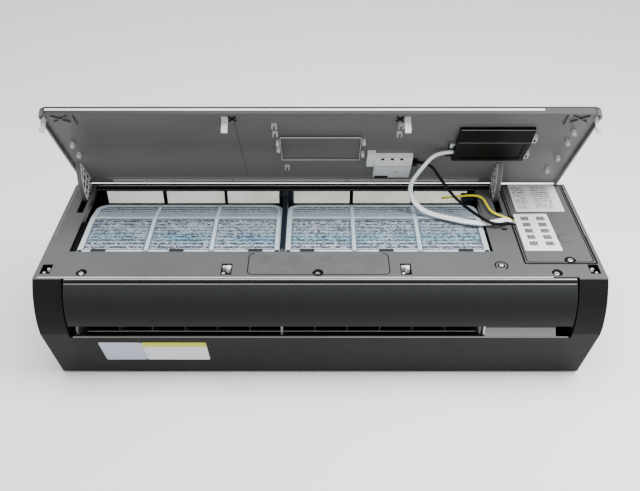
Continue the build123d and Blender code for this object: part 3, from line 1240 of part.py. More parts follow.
def fillet_radii(points):
    """The bend at each inner point: 0.45 of its shorter run, over the tangent of half the turn."""
    radii = []
    for before, here, after in zip(points, points[1:], points[2:]):
        way_in = Vector(*here) - Vector(*before)
        way_out = Vector(*after) - Vector(*here)
        half_turn = math.radians(way_in.get_angle(way_out)) / 2
        radii.append(0.45 * min(way_in.length, way_out.length) / math.tan(half_turn))
    return radii


def cable(points, radius):
    radii = fillet_radii(points)
    body = pipe(points, radii, radius)
    path = FilletPolyline(*points, radius=radii)
    print("cable radius", radius, "bends", [round(bend, 1) for bend in radii],
          "volume ratio", round(body.volume / (math.pi * radius ** 2 * path.length), 4))
    return body


# ================================================================ write the pieces

def moving_nodes():
    nodes = {"fan_rotor": fan_rotor(), "fan_axles": fan_axles(), "louver": louver(),
             "front_panel": front_panel(), "panel_hooks": panel_hooks(), "panel_clips": panel_clips(),
             "hinge_arm_left": hinge_arm(ARM_LEFT_X), "hinge_arm_right": hinge_arm(ARM_RIGHT_X),
             "display_box": display_box(), "wireless_module": wireless_module(),
             "module_plug": module_plug(), "manual_button": manual_button(),
             "filter_frame_left": filter_frame(FILTER_LEFT), "filter_net_left": filter_net(FILTER_LEFT),
             "filter_frame_right": filter_frame(FILTER_RIGHT), "filter_net_right": filter_net(FILTER_RIGHT)}
    for name, side in (("left", -1), ("right", 1)):
        nodes[f"vane_link_{name}"] = vane_link(side)
        for n, x in enumerate(vane_places(side), 1):
            nodes[f"vane_{name}_{n}"] = vane(x)
    return nodes


def fixed_nodes():
    return {"front_frame": front_frame(), "intake_grille": intake_grille(),
            "rear_casing": rear_casing(), "outlet_duct": outlet_duct(),
            "duct_end_block": duct_end_block(), "louver_post": louver_post(),
            "louver_bearing": louver_bearing(), "louver_motor": louver_motor(),
            "pocket_plate": pocket_plate(), "casing_screws": casing_screws(),
            "latch_catches": latch_catches(), "hinge_pins": hinge_pins(), "button_switch": button_switch(),
            "fan_bearing": fan_bearing(), "fan_motor": fan_motor(), "motor_clamp": motor_clamp(),
            "evaporator": evaporator(), "coil_end_plates": coil_end_plates(), "return_bends": return_bends(),
            "electrical_box": electrical_box(), "electrical_cover": electrical_cover(),
            "control_board": control_board(), "terminal_block": terminal_block(),
            "terminal_screws": terminal_screws(), "copper_pipes": copper_pipes(),
            "pipe_sleeves": pipe_sleeves(), "flare_unions": flare_unions(), "drain_elbow": drain_elbow(),
            "drain_hose": drain_hose(), "display_cable": cable(DISPLAY_CABLE, DISPLAY_CABLE_RADIUS),
            "module_cable": cable(MODULE_CABLE, MODULE_CABLE_RADIUS),
            "earth_wire": cable(EARTH_WIRE, EARTH_WIRE_RADIUS)}


os.makedirs("parts", exist_ok=True)
for node_name, node_shape in {**fixed_nodes(), **moving_nodes()}.items():
    save(node_name, node_shape)
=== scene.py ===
"""Looks of a mini split indoor unit that lies on its back with its front panel swung open.

Metres. +X runs to the electrical end, +Y to the edge that is uppermost on a wall, +Z into the room.
"""

import json
import math
from functools import cache, partialmethod

import bmesh
import bpy
from bpy.types import Operator, Panel, PropertyGroup
from mathutils import Matrix, Vector


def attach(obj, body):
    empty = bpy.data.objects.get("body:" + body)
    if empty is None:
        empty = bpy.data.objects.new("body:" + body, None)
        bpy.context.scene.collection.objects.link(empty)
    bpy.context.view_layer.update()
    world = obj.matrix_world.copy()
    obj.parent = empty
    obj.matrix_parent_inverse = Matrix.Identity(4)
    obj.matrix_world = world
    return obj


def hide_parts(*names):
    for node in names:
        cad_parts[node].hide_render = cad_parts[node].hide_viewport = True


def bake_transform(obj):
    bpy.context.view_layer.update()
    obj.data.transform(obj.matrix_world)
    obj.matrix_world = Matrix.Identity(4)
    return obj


bl_info = {
    "name": "Mini split indoor unit",
    "version": (1, 0, 0),
    "blender": (4, 5, 0),
    "location": "View3D > Sidebar > Indoor unit",
    "description": "Dresses the packed indoor unit: plastics, nets, coil, cables, stickers and stage",
    "category": "Object",
}

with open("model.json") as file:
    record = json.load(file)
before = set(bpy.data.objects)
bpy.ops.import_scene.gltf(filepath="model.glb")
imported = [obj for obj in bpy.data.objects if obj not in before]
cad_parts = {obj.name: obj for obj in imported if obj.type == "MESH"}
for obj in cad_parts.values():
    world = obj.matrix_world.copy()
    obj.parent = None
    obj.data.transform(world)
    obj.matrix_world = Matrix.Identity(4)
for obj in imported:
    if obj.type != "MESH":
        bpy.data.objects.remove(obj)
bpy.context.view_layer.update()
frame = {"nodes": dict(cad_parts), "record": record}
NODES = frame["nodes"]
MM = 0.001

# ---- places and sizes, in millimetres
# The casing: half its width, its face's height, and the edges and openings of the face.
HALF = 417.5
FACE = 198
Y_NEAR = -117.5
Y_FAR = 142.5
Y_BAY_FAR = 121
BAY_LEFT = -381
BAY_RIGHT = 262
RIB_X = -58

# The panel, in its own frame but for the hinge: from the hinge line to the free edge, and into the unit.
HINGE = (0, 121.9, 194)
OPEN_TURN = math.radians(56.5)
PANEL_HALF = 403
PANEL_INNER = -18
FREE_EDGE = 241.5

# The filters lie flat, then bend down by an angle; the coil is bent along a line of (y, z) points.
FILTERS = {"left": (-372, -62.5), "right": (-53.5, 259)}
FILTER_Y = -51.5
FILTER_MID = 191.5
FILTER_THICK = 3
FILTER_RIM = 6
NET_INSET = FILTER_RIM - 1.5
STRIP = 7
FILTER_BAR = 3
FILTER_FLAT = 96
FILTER_SLOPE = 54
FILTER_LEAN = 11
FILTER_CORNER = 20
FILTER_COLUMNS = 3
COIL_SPAN = (-363, 237)
COIL_LINE = ((-74, 150), (14, 163), (74, 121), (101, 30))
COIL_THICK = 24
FIN_THICK = 0.22
TUBE_PITCH = 25

# Fittings on the face, as corners, centres or positions along X.
COVER = ((304, -83), (412, 136))
POCKET = ((-107, -108.5), (102, -57.5))
BUTTON = (268, -87.5)
DIMPLE = (379, -19)
COVER_SCREW = (373, -75)
FACE_SCREWS_X = (-350, -4, 346)
LATCH_X = (-138, 126)
LATCH_Y = -96
CORNER_X = (-403, 403)
LIP = (-139, 101)
LOUVER_HALF = 373

# Fittings of the panel.
ARM_X = (-391.5, 291)
ARM_THICK = 7
DISPLAY_X = (207, 318)
DISPLAY_FAR = 193.5
DISPLAY_FOLD = 163.5
STOPS_Y = (165, 113)
MODULE_X = (87, 146)
MODULE_FAR = 108
HOLDER_X = (-61, 62)
HOLDER_Y = (90, 165)
FLANGE_RIBS_X = (-297, -251, -151, 46)

# Cable routes, as in the part's source; then the way a flat lead faces and the corners of a lead's section.
DISPLAY_CABLE = ((207, 62.5, 304.6), (181, 62.5, 304.6), (160, 56, 281), (142, 61, 246), (149, 65, 214),
                 (165, 54, 201.5), (184, 41, 200.5), (210, 30, 200.5), (237, 20.5, 200.5), (262, 13.5, 203),
                 (284, 18, 205), (297, 27.5, 201.5), (310, 29.5, 193.5), (326, 29.5, 187))
MODULE_CABLE = ((155, 86.8, 271.5), (175, 86.8, 271.5), (192, 75, 250), (214, 67, 222), (233, 50, 211.5),
                (250, 24, 211), (266, 6, 209.5), (284, 6.5, 206), (296, 18, 202), (309, 22.5, 194),
                (326, 22.5, 187))
EARTH_WIRE = ((208, 123, 180), (230, 109.5, 191.5), (253, 99, 201.5), (269, 90, 203.5), (272, 66, 203.5),
              (276, 45, 203.5), (290, 35.5, 202.5), (306, 36, 196), (325, 36.5, 187))
LEAD_FLAT = (0, -0.552, 0.834)
LEAD_SIDES = 14

# Where the finishes turn, in metres: heights over the wall, and distances in the panel's own frame. Below the face's
# height the casing's walls get painted shade, the louver turns paler upwards as painted light, and the panel gets
# painted light towards the hinge and painted shade on its free edge's end face.
FACE_STARTS = (0.1962, 0.1975)
LOUVER_PAINTED_LIGHT = (0.155, 0.192)
HINGE_PAINTED_LIGHT = (0.13, 0.01)
FREE_EDGE_PAINTED_SHADE = (0.2405, 0.2412)
INSIDE_STARTS = (-0.0212, -0.0206)

# The floor and the camera solved from the photograph, in metres; its shift was found in pixels of a 640 px width.
FLOOR_HALF = 6
FLOOR_Z = -0.0015
CAMERA_PLACE = (0, -0.99211, 0.90632)
CAMERA_TILT = 53.67
CAMERA_LENS = 43.66
CAMERA_SHIFT = (-0.35 / 640, -3.4 / 640)


# ---- shader expressions
class Term:
    """A socket's value, so that shader maths reads as Python arithmetic."""

    def __init__(self, shader, socket):
        self.shader = shader
        self.socket = socket

    def math(self, operation, other=0):
        return self.shader.add("ShaderNodeMath", {"operation": operation}, {0: self, 1: other})

    __add__ = partialmethod(math, "ADD")
    __sub__ = partialmethod(math, "SUBTRACT")
    __mul__ = partialmethod(math, "MULTIPLY")
    __gt__ = partialmethod(math, "GREATER_THAN")
    __lt__ = partialmethod(math, "LESS_THAN")
    sine = partialmethod(math, "SINE")

    def __rsub__(self, other):
        return self * -1 + other


class Shader:
    """One material's tree; add() makes any node and returns one of its outputs as a Term."""

    def __init__(self, name):
        self.material = bpy.data.materials.new(name)
        self.material.use_nodes = True
        self.tree = self.material.node_tree
        self.surface = self.tree.nodes["Principled BSDF"]
        self.place = self.add("ShaderNodeTexCoord", {}, {}, "Object")

    def add(self, kind, settings, inputs, output=0):
        node = self.tree.nodes.new(kind)
        for key, value in settings.items():
            setattr(node, key, value)
        self.feed(node, inputs)
        return Term(self, node.outputs[output])

    def feed(self, node, inputs):
        for key, value in inputs.items():
            socket = node.inputs[key]
            if isinstance(value, Term):
                self.tree.links.new(value.socket, socket)
            elif isinstance(value, tuple) and socket.type == "RGBA":
                socket.default_value = (*value, 1)
            else:
                socket.default_value = value

    def noise(self, scale, detail=2, roughness=0.5, place=None):
        return self.add("ShaderNodeTexNoise", {}, {"Vector": place or self.place, "Scale": scale,
                                                   "Detail": detail, "Roughness": roughness})

    def stretched(self, x, y, z):
        return self.add("ShaderNodeMapping", {}, {"Vector": self.place, "Scale": (x, y, z)})

    def axes(self):
        node = self.add("ShaderNodeSeparateXYZ", {}, {0: self.place}).socket.node
        return [Term(self, socket) for socket in node.outputs]

    def mix(self, factor, low, high):
        return self.add("ShaderNodeMix", {"data_type": "RGBA"}, {0: factor, 6: low, 7: high}, 2)

    def span(self, value, low, high):
        """0 below low, 1 above high, straight between them."""
        return self.add("ShaderNodeMapRange", {}, {0: value, 1: low, 2: high, 3: 0, 4: 1})

    def toned(self, value, low, high, colour, dark, pale):
        """The colour, from one factor of it to another, as a value goes from low to high."""
        return self.mix(self.span(value, low, high), shade(colour, dark), shade(colour, pale))

    def drifted(self, colour, patchy, share, rubbed):
        """A slow tone drift with paler rubbed patches, and the noise that rubs them."""
        rub = self.noise(38, 4, 0.6)
        base = self.toned(self.noise(5, 3), 0.3, 0.7, colour, 1 - patchy, 1 + patchy)
        return self.mix(self.span(rub, 0.62, 0.8) * share, base, shade(colour, rubbed)), rub

    def bump(self, height, strength, distance):
        return self.add("ShaderNodeBump", {}, {"Height": height, "Strength": strength, "Distance": distance})

    def grain(self, scale, strength, distance, detail=2):
        return self.bump(self.noise(scale, detail), strength, distance)

    def gloss(self, value, low, high, spread, rough):
        """Roughness from rough upwards as a value goes from low to high."""
        return self.span(value, low, high) * spread + rough

    def spark(self, base, rub, rough, strength, mirror=0.5):
        """Closes a moulded plastic with a fine spark grain."""
        return self.close(Base_Color=base, Roughness=self.gloss(rub, 0.25, 0.8, 0.14, rough),
                          Normal=self.grain(1700, strength, 0.00012, 1), Specular_IOR_Level=mirror)

    def close(self, **inputs):
        self.feed(self.surface, {key.replace("_", " "): value for key, value in inputs.items()})
        return self.material


def shade(colour, factor):
    return tuple(min(1, channel * factor) for channel in colour)


# ---- finishes
def moulded(name, colour, rough=0.42, strength=0.25, patchy=0.12):
    """Moulded plastic: fine spark grain, slow tone drift and faint rubbed patches."""
    s = Shader(name)
    base, rub = s.drifted(colour, patchy, 0.25, 1.35)
    return s.spark(base, rub, rough - 0.07, strength)


def casing(name, colour):
    """The casing's plastic: satin grey on the face, and on every wall below it a darker, duller copy of the grey as
    painted shade.
    """
    s = Shader(name)
    face, rub = s.drifted(colour, 0.1, 0.2, 1.3)
    # Painted shade: below the face's height the walls take the grey at 6 to 9 per cent of its strength.
    wall = s.toned(s.noise(5, 3), 0.3, 0.7, colour, 0.06, 0.09)
    return s.spark(s.mix(s.span(s.axes()[2], *FACE_STARTS), wall, face), rub, 0.3, 0.2, 0.07)


def dull(name, colour, rough=0.45, paler=()):
    """Dark moulded plastic that hardly mirrors the floor; given heights, it turns paler upwards between them as
    painted light on the top.
    """
    s = Shader(name)
    rub = s.noise(30, 4, 0.6)
    base = s.toned(rub, 0.4, 0.75, colour, 1, 1.25)
    if paler:
        # Painted light: the colour turns 3.2 times paler upwards between these heights.
        base = s.mix(s.span(s.axes()[2], *paler), base, shade(colour, 3.2))
    return s.spark(base, rub, rough, 0.2, 0.12)


def window_screen(name, colour):
    """Thin cream weave that lets part of the light through."""
    s = Shader(name)
    cloud = s.noise(26, 4, 0.6)
    yellowed = (colour[0], colour[1] * 0.98, colour[2] * 0.5)
    base = s.mix(s.span(s.axes()[0], -0.1, 0.25), colour, yellowed)
    base = s.mix(s.span(cloud, 0.4, 0.7) * 0.5, base, shade(colour, 0.7))
    return s.close(Base_Color=base, Roughness=0.7, Alpha=s.gloss(cloud, 0.3, 0.7, 0.12, 0.42),
                   Normal=s.grain(1200, 0.3, 0.0002, 1))


def inner_panel(name, colour):
    """The panel's plastic: grey with soft clouds and pale scuffs inside, darker on the room side, with painted light
    that makes it paler towards the hinge and painted shade that darkens the free edge's end face.
    """
    s = Shader(name)
    cloud = s.noise(3.2, 3, 0.5, s.stretched(1, 2.4, 2.4))
    scuff = s.noise(1, 5, 0.62, s.stretched(22, 90, 90))
    base = s.toned(cloud, 0.3, 0.72, colour, 0.86, 1.18)
    base = s.mix(s.span(scuff, 0.66, 0.78) * 0.35, base, shade(colour, 1.9))
    _, y, z = s.axes()
    y, z = y - HINGE[1] * MM, z - HINGE[2] * MM
    depth = y * -math.sin(OPEN_TURN) + z * -math.cos(OPEN_TURN)
    along = y * -math.cos(OPEN_TURN) + z * math.sin(OPEN_TURN)
    # Painted light: the inner face turns paler towards the hinge, where the open panel's shade falls.
    base = s.mix(s.span(along, *HINGE_PAINTED_LIGHT), base, shade(colour, 2.6))
    # Painted shade: the free edge's end face is darkened to a fifth.
    base = s.mix(s.span(along, *FREE_EDGE_PAINTED_SHADE), base, shade(colour, 0.2))
    base = s.mix(s.span(depth, *INSIDE_STARTS), shade(colour, 0.17), base)
    return s.close(Base_Color=base, Roughness=s.gloss(cloud, 0.3, 0.7, 0.12, 0.34),
                   Normal=s.grain(900, 0.15, 0.00015, 1), Specular_IOR_Level=0.3)


def soft(name, colour, rough, noise, tone, gloss, grain, mirror=0.5, stretch=None):
    """Plastic, rubber or film whose tone and gloss follow one noise, over a faint grain."""
    s = Shader(name)
    cloud = s.noise(*noise, s.stretched(*stretch) if stretch else None)
    return s.close(Base_Color=s.toned(cloud, *tone[:2], colour, 1, tone[2]),
                   Roughness=s.gloss(cloud, *gloss, rough), Normal=s.grain(*grain, 0.0002),
                   Specular_IOR_Level=mirror)


def glossy(name, colour, rough):
    """Polished dark plastic with faint wipe marks."""
    return soft(name, colour, rough, (9, 4, 0.6), (0.4, 0.7, 1.6), (0.3, 0.75, 0.14), (240, 0.05), 0.09,
                (1, 6, 6))


def jacket(name, colour, rough=0.45):
    """A cable's jacket, a little dusty."""
    return soft(name, colour, rough, (120, 3, 0.6), (0.45, 0.8, 0.82), (0.3, 0.8, 0.15), (900, 0.12))


def frosted(name, colour):
    """Milky thin plastic of the filter frames."""
    return soft(name, colour, 0.26, (30, 3, 0.5), (0.35, 0.7, 0.84), (0.3, 0.7, 0.12), (300, 0.12))


def metal(name, colour, rough=0.3, brushed=(4, 300, 300), tarnish=0.2):
    """Drawn or machined metal with fine lines and a little tarnish."""
    s = Shader(name)
    lines = s.noise(1, 4, 0.7, s.stretched(*brushed))
    stain = s.noise(26, 4, 0.6)
    return s.close(Base_Color=s.mix(s.span(stain, 0.45, 0.75) * tarnish, colour, shade(colour, 0.5)),
                   Metallic=1, Roughness=s.gloss(lines, 0.2, 0.8, 0.2, rough),
                   Normal=s.bump(lines, 0.12, 0.0001))


def fins_finish(name):
    """Thin coated aluminium: pale, with blue-green bands."""
    s = Shader(name)
    band = s.noise(1, 3, 0.55, s.stretched(3, 75, 75))
    patch = s.noise(14, 3)
    base = s.mix(s.span(band, 0.42, 0.62), (0.3, 0.34, 0.37), (0.14, 0.36, 0.45))
    base = s.mix(s.span(patch, 0.45, 0.7) * 0.5, base, (0.5, 0.54, 0.56))
    return s.close(Base_Color=base, Metallic=0.55, Roughness=s.gloss(patch, 0.2, 0.8, 0.2, 0.32),
                   Normal=s.bump(band, 0.2, 0.0003))


def gauze_finish(name):
    """Fine woven gauze: pale with rows of dark dashes, a bluish streak, and paler with fewer holes beyond the bend.
    """
    s = Shader(name)
    y = s.axes()[1]
    rows = ((y + (s.noise(14) - 0.5) * 0.004) * (math.tau / 0.0088)).sine()
    dash = s.noise(1, 2, 0.6, s.stretched(230, 300, 60))
    marks = s.span(rows * 0.1 + dash, 0.47, 0.58)
    dust = s.noise(1, 4, 0.6, s.stretched(60, 110, 60))
    base = s.mix(s.span(dust, 0.35, 0.65), (0.26, 0.31, 0.38), (0.6, 0.66, 0.72))
    streak = s.span(y + (s.noise(9) - 0.5) * 0.02, -0.026, -0.014) * (1 - s.span(y, -0.004, 0.01))
    base = s.mix(streak * s.span(s.noise(16, 3), 0.32, 0.56) * 0.85, base, (0.13, 0.46, 0.62))
    paler_beyond_bend = s.span(y, 0.043, 0.047)
    far = s.span(y + (s.noise(60, 3) - 0.5) * 0.02, 0.066, 0.078)
    base = s.mix(paler_beyond_bend * 0.75, base, (0.5, 0.58, 0.64))
    ink = marks * (1 - paler_beyond_bend * 0.8) + far * marks * 0.8
    holes = marks * s.span(s.noise(260, 2), 0.4, 0.62)
    return s.close(Base_Color=s.mix(ink, base, (0.012, 0.02, 0.032)), Roughness=0.55,
                   Alpha=1 - holes * (0.45 - paler_beyond_bend * 0.35), Normal=s.grain(1600, 0.4, 0.0002, 1))


def paper(name, colour, ink=None, marks=None):
    """A sticker of coated paper: blank, or with marks that stand for print and hold no words."""
    s = Shader(name)
    cloud = s.noise(45, 3)
    base = s.toned(cloud, 0.3, 0.7, colour, 1, 0.93)
    if marks:
        x, y, _ = s.axes()
        base = s.mix(marks(s, x, y), base, ink)
    return s.close(Base_Color=base, Roughness=s.gloss(cloud, 0.3, 0.7, 0.1, 0.34),
                   Normal=s.bump(cloud, 0.05, 0.0002))


def broken_rules(s, x, y):
    """Two columns of faint broken rules."""
    row = (y * (math.tau / 0.0058)).sine() > 0.25
    broken = s.noise(1, 1, 0.5, s.stretched(420, 172, 1)) > 0.47
    column = (x > 0.323) * (x < 0.343) + (x > 0.354) * (x < 0.384)
    return row * broken * column * (y > 0.062) * (y < 0.131)


def plain_bars(s, x, y):
    """Two columns of plain dark bars that stand for printed blocks."""
    bars = (x * (math.tau / 0.0021) + (x * 900).sine() * 1.2).sine() > -0.85
    block = (y * (math.tau / 0.0168) + 1.2).sine() > -0.45
    column = (x > 0.3215) * (x < 0.334) + (x > 0.346) * (x < 0.3595)
    return bars * block * column * (y > -0.043) * (y < 0.0415)


@cache
def finishes():
    """The record's material slots and the trims' own finishes, by name."""
    look = bpy.context.scene.unit_look
    plan = {
        "casing_grey": (casing, tuple(look.casing_colour)),
        "casing_dark": (dull, (0.011, 0.012, 0.0135)),
        # The louver's top turns paler upwards as painted light.
        "louver_dark": (dull, (0.0058, 0.0062, 0.0066), 0.3, LOUVER_PAINTED_LIGHT),
        "panel_grey": (inner_panel, tuple(look.panel_colour)),
        "light_plastic": (moulded, (0.52, 0.53, 0.53), 0.4, 0.2, 0.1),
        "black_plastic": (glossy, (0.0016, 0.0016, 0.0018), 0.34),
        "filter_plastic": (frosted, (0.42, 0.5, 0.56)),
        "filter_mesh": (gauze_finish,),
        "pan_plastic": (moulded, (0.2, 0.205, 0.2), 0.55, 0.4),
        "coil_fins": (fins_finish,),
        "coil_plate": (metal, (0.6, 0.61, 0.62), 0.34),
        "copper": (metal, (0.72, 0.36, 0.22), 0.24, (200, 200, 3), 0.35),
        "union_brass": (metal, (0.76, 0.58, 0.28), 0.22),
        "foam_sleeve": (moulded, (0.5, 0.5, 0.475), 0.8, 0.9),
        "fan_plastic": (moulded, (0.03, 0.031, 0.034), 0.5, 0.3),
        "shaft_steel": (metal, (0.58, 0.58, 0.6), 0.22),
        "bearing_rubber": (moulded, (0.015, 0.015, 0.015), 0.7, 0.5),
        "motor_shell": (metal, (0.52, 0.53, 0.54), 0.35),
        "screw_steel": (metal, (0.85, 0.85, 0.83), 0.25, (60, 60, 60)),
        "board_green": (moulded, (0.02, 0.12, 0.05), 0.4, 0.2),
        "terminal_dark": (moulded, (0.03, 0.03, 0.033), 0.45, 0.2),
        "hose_white": (moulded, (0.5, 0.5, 0.48), 0.4, 0.2),
        "cable_white": (jacket, (0.86, 0.89, 0.92)),
        "cable_black": (dull, (0.004, 0.004, 0.0045), 0.25),
        "earth_yellow": (jacket, (0.95, 0.83, 0.005), 0.35),
        # Painted shade: near-black for thin pieces laid in grooves, gaps, slots and socket holes, where shade falls.
        "groove_dark": (dull, (0.002, 0.002, 0.0025), 0.6),
        "pocket_grey": (dull, (0.09, 0.091, 0.093), 0.36),
        # Painted highlight: pale beads along edges that catch the light.
        "lit_edge": (moulded, (0.5, 0.5, 0.5), 0.3, 0.1),
        # Grey of the filter grips, and painted highlight on beads along lips, folds and edges.
        "soft_edge": (moulded, (0.2, 0.2, 0.205), 0.35, 0.1),
        "strip_grey": (moulded, (0.27, 0.27, 0.28), 0.35, 0.1),
        # Near-white of the socket catches and the hinge-side strips, and painted highlight on the panel's free-edge
        # bead.
        "bright_edge": (moulded, (0.78, 0.78, 0.78), 0.35, 0.1),
        "module_pale": (moulded, (0.8, 0.8, 0.79), 0.35, 0.1),
        "arm_grey": (moulded, (0.1, 0.1, 0.1), 0.4, 0.2),
        "frame_pale": (frosted, (0.56, 0.64, 0.69)),
        "thread_blue": (frosted, (0.16, 0.2, 0.25)),
        "screen_cream": (window_screen, (0.95, 0.93, 0.78)),
        "navy_plastic": (dull, (0.008, 0.012, 0.019), 0.35),
        "duct_pale": (moulded, (0.3, 0.3, 0.295), 0.5, 0.3),
        "vane_grey": (moulded, (0.24, 0.245, 0.25), 0.45, 0.2),
        "paper_dashed": (paper, (0.8, 0.8, 0.8), (0.06, 0.06, 0.065), broken_rules),
        "paper_barred": (paper, (0.82, 0.82, 0.83), (0.012, 0.012, 0.012), plain_bars),
        "paper_plain": (paper, (0.55, 0.57, 0.59)),
        "paper_lilac": (paper, (0.36, 0.38, 0.47)),
        "paper_lime": (paper, (0.44, 0.46, 0)),
    }
    return {name: kind(name, *rest) for name, (kind, *rest) in plan.items()}


# ---- mesh helpers
def new_object(name, mesh, material=None):
    piece = bpy.data.objects.new(name, mesh)
    bpy.context.scene.collection.objects.link(piece)
    if material:
        mesh.materials.clear()
        mesh.materials.append(material)
    return piece


def meshed(name, form):
    """A bmesh's faces as a new mesh; the bmesh is freed."""
    mesh = bpy.data.meshes.new(name)
    form.to_mesh(mesh)
    form.free()
    return mesh


def piece_from(name, form, material, place=None):
    """A piece from a bmesh in millimetres, put at a place."""
    if place:
        bmesh.ops.transform(form, matrix=place, verts=form.verts)
    bmesh.ops.recalc_face_normals(form, faces=form.faces)
    bmesh.ops.scale(form, vec=(MM, MM, MM), verts=form.verts)
    return new_object(name, meshed(name, form), finishes()[material])


def mounted(piece, body, replaces=()):
    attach(piece, body)
    if replaces:
        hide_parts(*replaces)
    return piece


def skin_into(form, rings, capped=True):
    """Quads between successive rings of points, closed by end caps or back onto the first ring."""
    rows = [[form.verts.new(point) for point in ring] for ring in rings]
    for below, above in zip(rows, rows[1:] if capped else rows[1:] + rows[:1]):
        for n in range(len(below)):
            m = (n + 1) % len(below)
            form.faces.new((below[n], below[m], above[m], above[n]))
    if capped:
        form.faces.new(rows[0])
        form.faces.new(rows[-1])


def prism_into(form, loop, low, high, rim=0):
    """A closed prism from an (x, y) loop between two heights; its top edge drawn in by a rim."""
    middle = [sum(axis) / len(loop) for axis in zip(*loop)]
    size = max(math.dist(point, middle) for point in loop)
    inner = [tuple(m + (v - m) * (1 - rim / size) for v, m in zip(point, middle)) for point in loop]
    levels = [(loop, low), (loop, high - rim), (inner, high)] if rim else [(loop, low), (loop, high)]
    skin_into(form, [[(x, y, z) for x, y in ring] for ring, z in levels])


def box_into(form, low, high, rim=0):
    loop = ((low[0], low[1]), (high[0], low[1]), (high[0], high[1]), (low[0], high[1]))
    prism_into(form, loop, low[2], high[2], rim)


def arc_loop(middle, radius, start, end, steps):
    turns = [math.radians(start + (end - start) * n / steps) for n in range(steps + 1)]
    return [(middle[0] + radius * math.cos(turn), middle[1] + radius * math.sin(turn)) for turn in turns]


def rounded(low, high, radius):
    """Loop of a rectangle with rounded corners."""
    corners = ((high[0] - radius, high[1] - radius), (low[0] + radius, high[1] - radius),
               (low[0] + radius, low[1] + radius), (high[0] - radius, low[1] + radius))
    return [point for n, corner in enumerate(corners)
            for point in arc_loop(corner, radius, 90 * n, 90 * n + 90, 5)]


def cut_corners(corners, radius):
    """The loop of a straight-sided figure with every corner rounded."""
    loop = []
    for n, corner in enumerate(corners):
        here = Vector(corner)
        before = (Vector(corners[n - 1]) - here).normalized() * radius
        after = (Vector(corners[(n + 1) % len(corners)]) - here).normalized() * radius
        for share in (0, 0.3, 0.7, 1):
            loop.append(tuple(here + before * (1 - share) ** 2 + after * share ** 2))
    return loop


def band_into(form, outer, inner, low, high, closed=True):
    """A flat ring, or an open band, between two loops of equal length."""
    sections = [((*a, low), (*a, high), (*b, high), (*b, low)) for a, b in zip(outer, inner)]
    skin_into(form, sections, not closed)


def arc_into(form, middle, outer, inner, start, end, steps, low, high):
    """An open band between two arcs about one middle."""
    band_into(form, arc_loop(middle, outer, start, end, steps), arc_loop(middle, inner, start, end, steps),
              low, high, closed=False)


def ring_into(form, low, high, radius, width, z_low, z_high):
    """A line of a width just inside a rounded rectangle."""
    inner_low = (low[0] + width, low[1] + width)
    inner_high = (high[0] - width, high[1] - width)
    band_into(form, rounded(low, high, radius), rounded(inner_low, inner_high, max(radius - width, 0.5)),
              z_low, z_high)


def bead_into(form, start, end, width, height, up=(0, 0, 1), sunk=0.3):
    """A straight half-round bead on a surface."""
    start, end, up = Vector(start), Vector(end), Vector(up).normalized()
    side = (end - start).normalized().cross(up)
    profile = [(-0.5, -sunk / height), (-0.5, 0.15), (-0.33, 0.75), (0, 1), (0.33, 0.75), (0.5, 0.15),
               (0.5, -sunk / height)]
    skin_into(form, [[point + side * (a * width) + up * (b * height) for a, b in profile]
                     for point in (start, end)])


def line_into(form, x_start, x_end, y, z, *shape):
    """A bead along X."""
    bead_into(form, (x_start, y, z), (x_end, y, z), *shape)


def trim(name, body, look, slot=None, place=None, **rows):
    """A mounted piece from rows of arguments for the helpers above: boxes, beads, lines, rings, arcs, prisms."""
    adders = {"boxes": box_into, "beads": bead_into, "lines": line_into, "rings": ring_into, "arcs": arc_into,
              "prisms": prism_into}
    form = bmesh.new()
    for kind, shapes in rows.items():
        for shape in shapes:
            adders[kind](form, *shape)
    return mounted(piece_from(name, form, look, place), body)


def evaluated(piece):
    """The piece's mesh as its modifiers or its curve make it."""
    graph = bpy.context.evaluated_depsgraph_get()
    return bpy.data.meshes.new_from_object(piece.evaluated_get(graph))


def merged(name, pieces):
    """Several meshes of one body as one piece, finishes kept."""
    form = bmesh.new()
    slots = []
    for piece in pieces:
        own = list(piece.data.materials)
        start = len(form.faces)
        form.from_mesh(piece.data)
        form.faces.ensure_lookup_table()
        slots += [material for material in own if material not in slots]
        for face in form.faces[start:]:
            face.material_index = slots.index(own[face.material_index])
        bpy.data.objects.remove(piece)
    mesh = meshed(name, form)
    for material in slots:
        mesh.materials.append(material)
    return new_object(name, mesh)


# ---- repeated pieces
def row_tree():
    """Geometry Nodes: the piece's own mesh along one straight row."""
    if "unit_rows" in bpy.data.node_groups:
        return bpy.data.node_groups["unit_rows"]
    tree = bpy.data.node_groups.new("unit_rows", "GeometryNodeTree")
    for name, kind in (("Geometry", "Geometry"), ("Count", "Int"), ("Step", "Vector"), ("Finish", "Material")):
        tree.interface.new_socket(name, in_out="INPUT", socket_type="NodeSocket" + kind)
    tree.interface.new_socket("Geometry", in_out="OUTPUT", socket_type="NodeSocketGeometry")
    link, add = tree.links.new, tree.nodes.new
    given = add("NodeGroupInput").outputs
    line, spread = add("GeometryNodeMeshLine"), add("GeometryNodeInstanceOnPoints")
    real, paint = add("GeometryNodeRealizeInstances"), add("GeometryNodeSetMaterial")
    line.mode = "OFFSET"
    link(given["Count"], line.inputs["Count"])
    link(given["Step"], line.inputs["Offset"])
    link(line.outputs[0], spread.inputs["Points"])
    link(given["Geometry"], spread.inputs["Instance"])
    link(spread.outputs[0], real.inputs[0])
    link(real.outputs[0], paint.inputs["Geometry"])
    link(given["Finish"], paint.inputs["Material"])
    link(paint.outputs[0], add("NodeGroupOutput").inputs[0])
    return tree


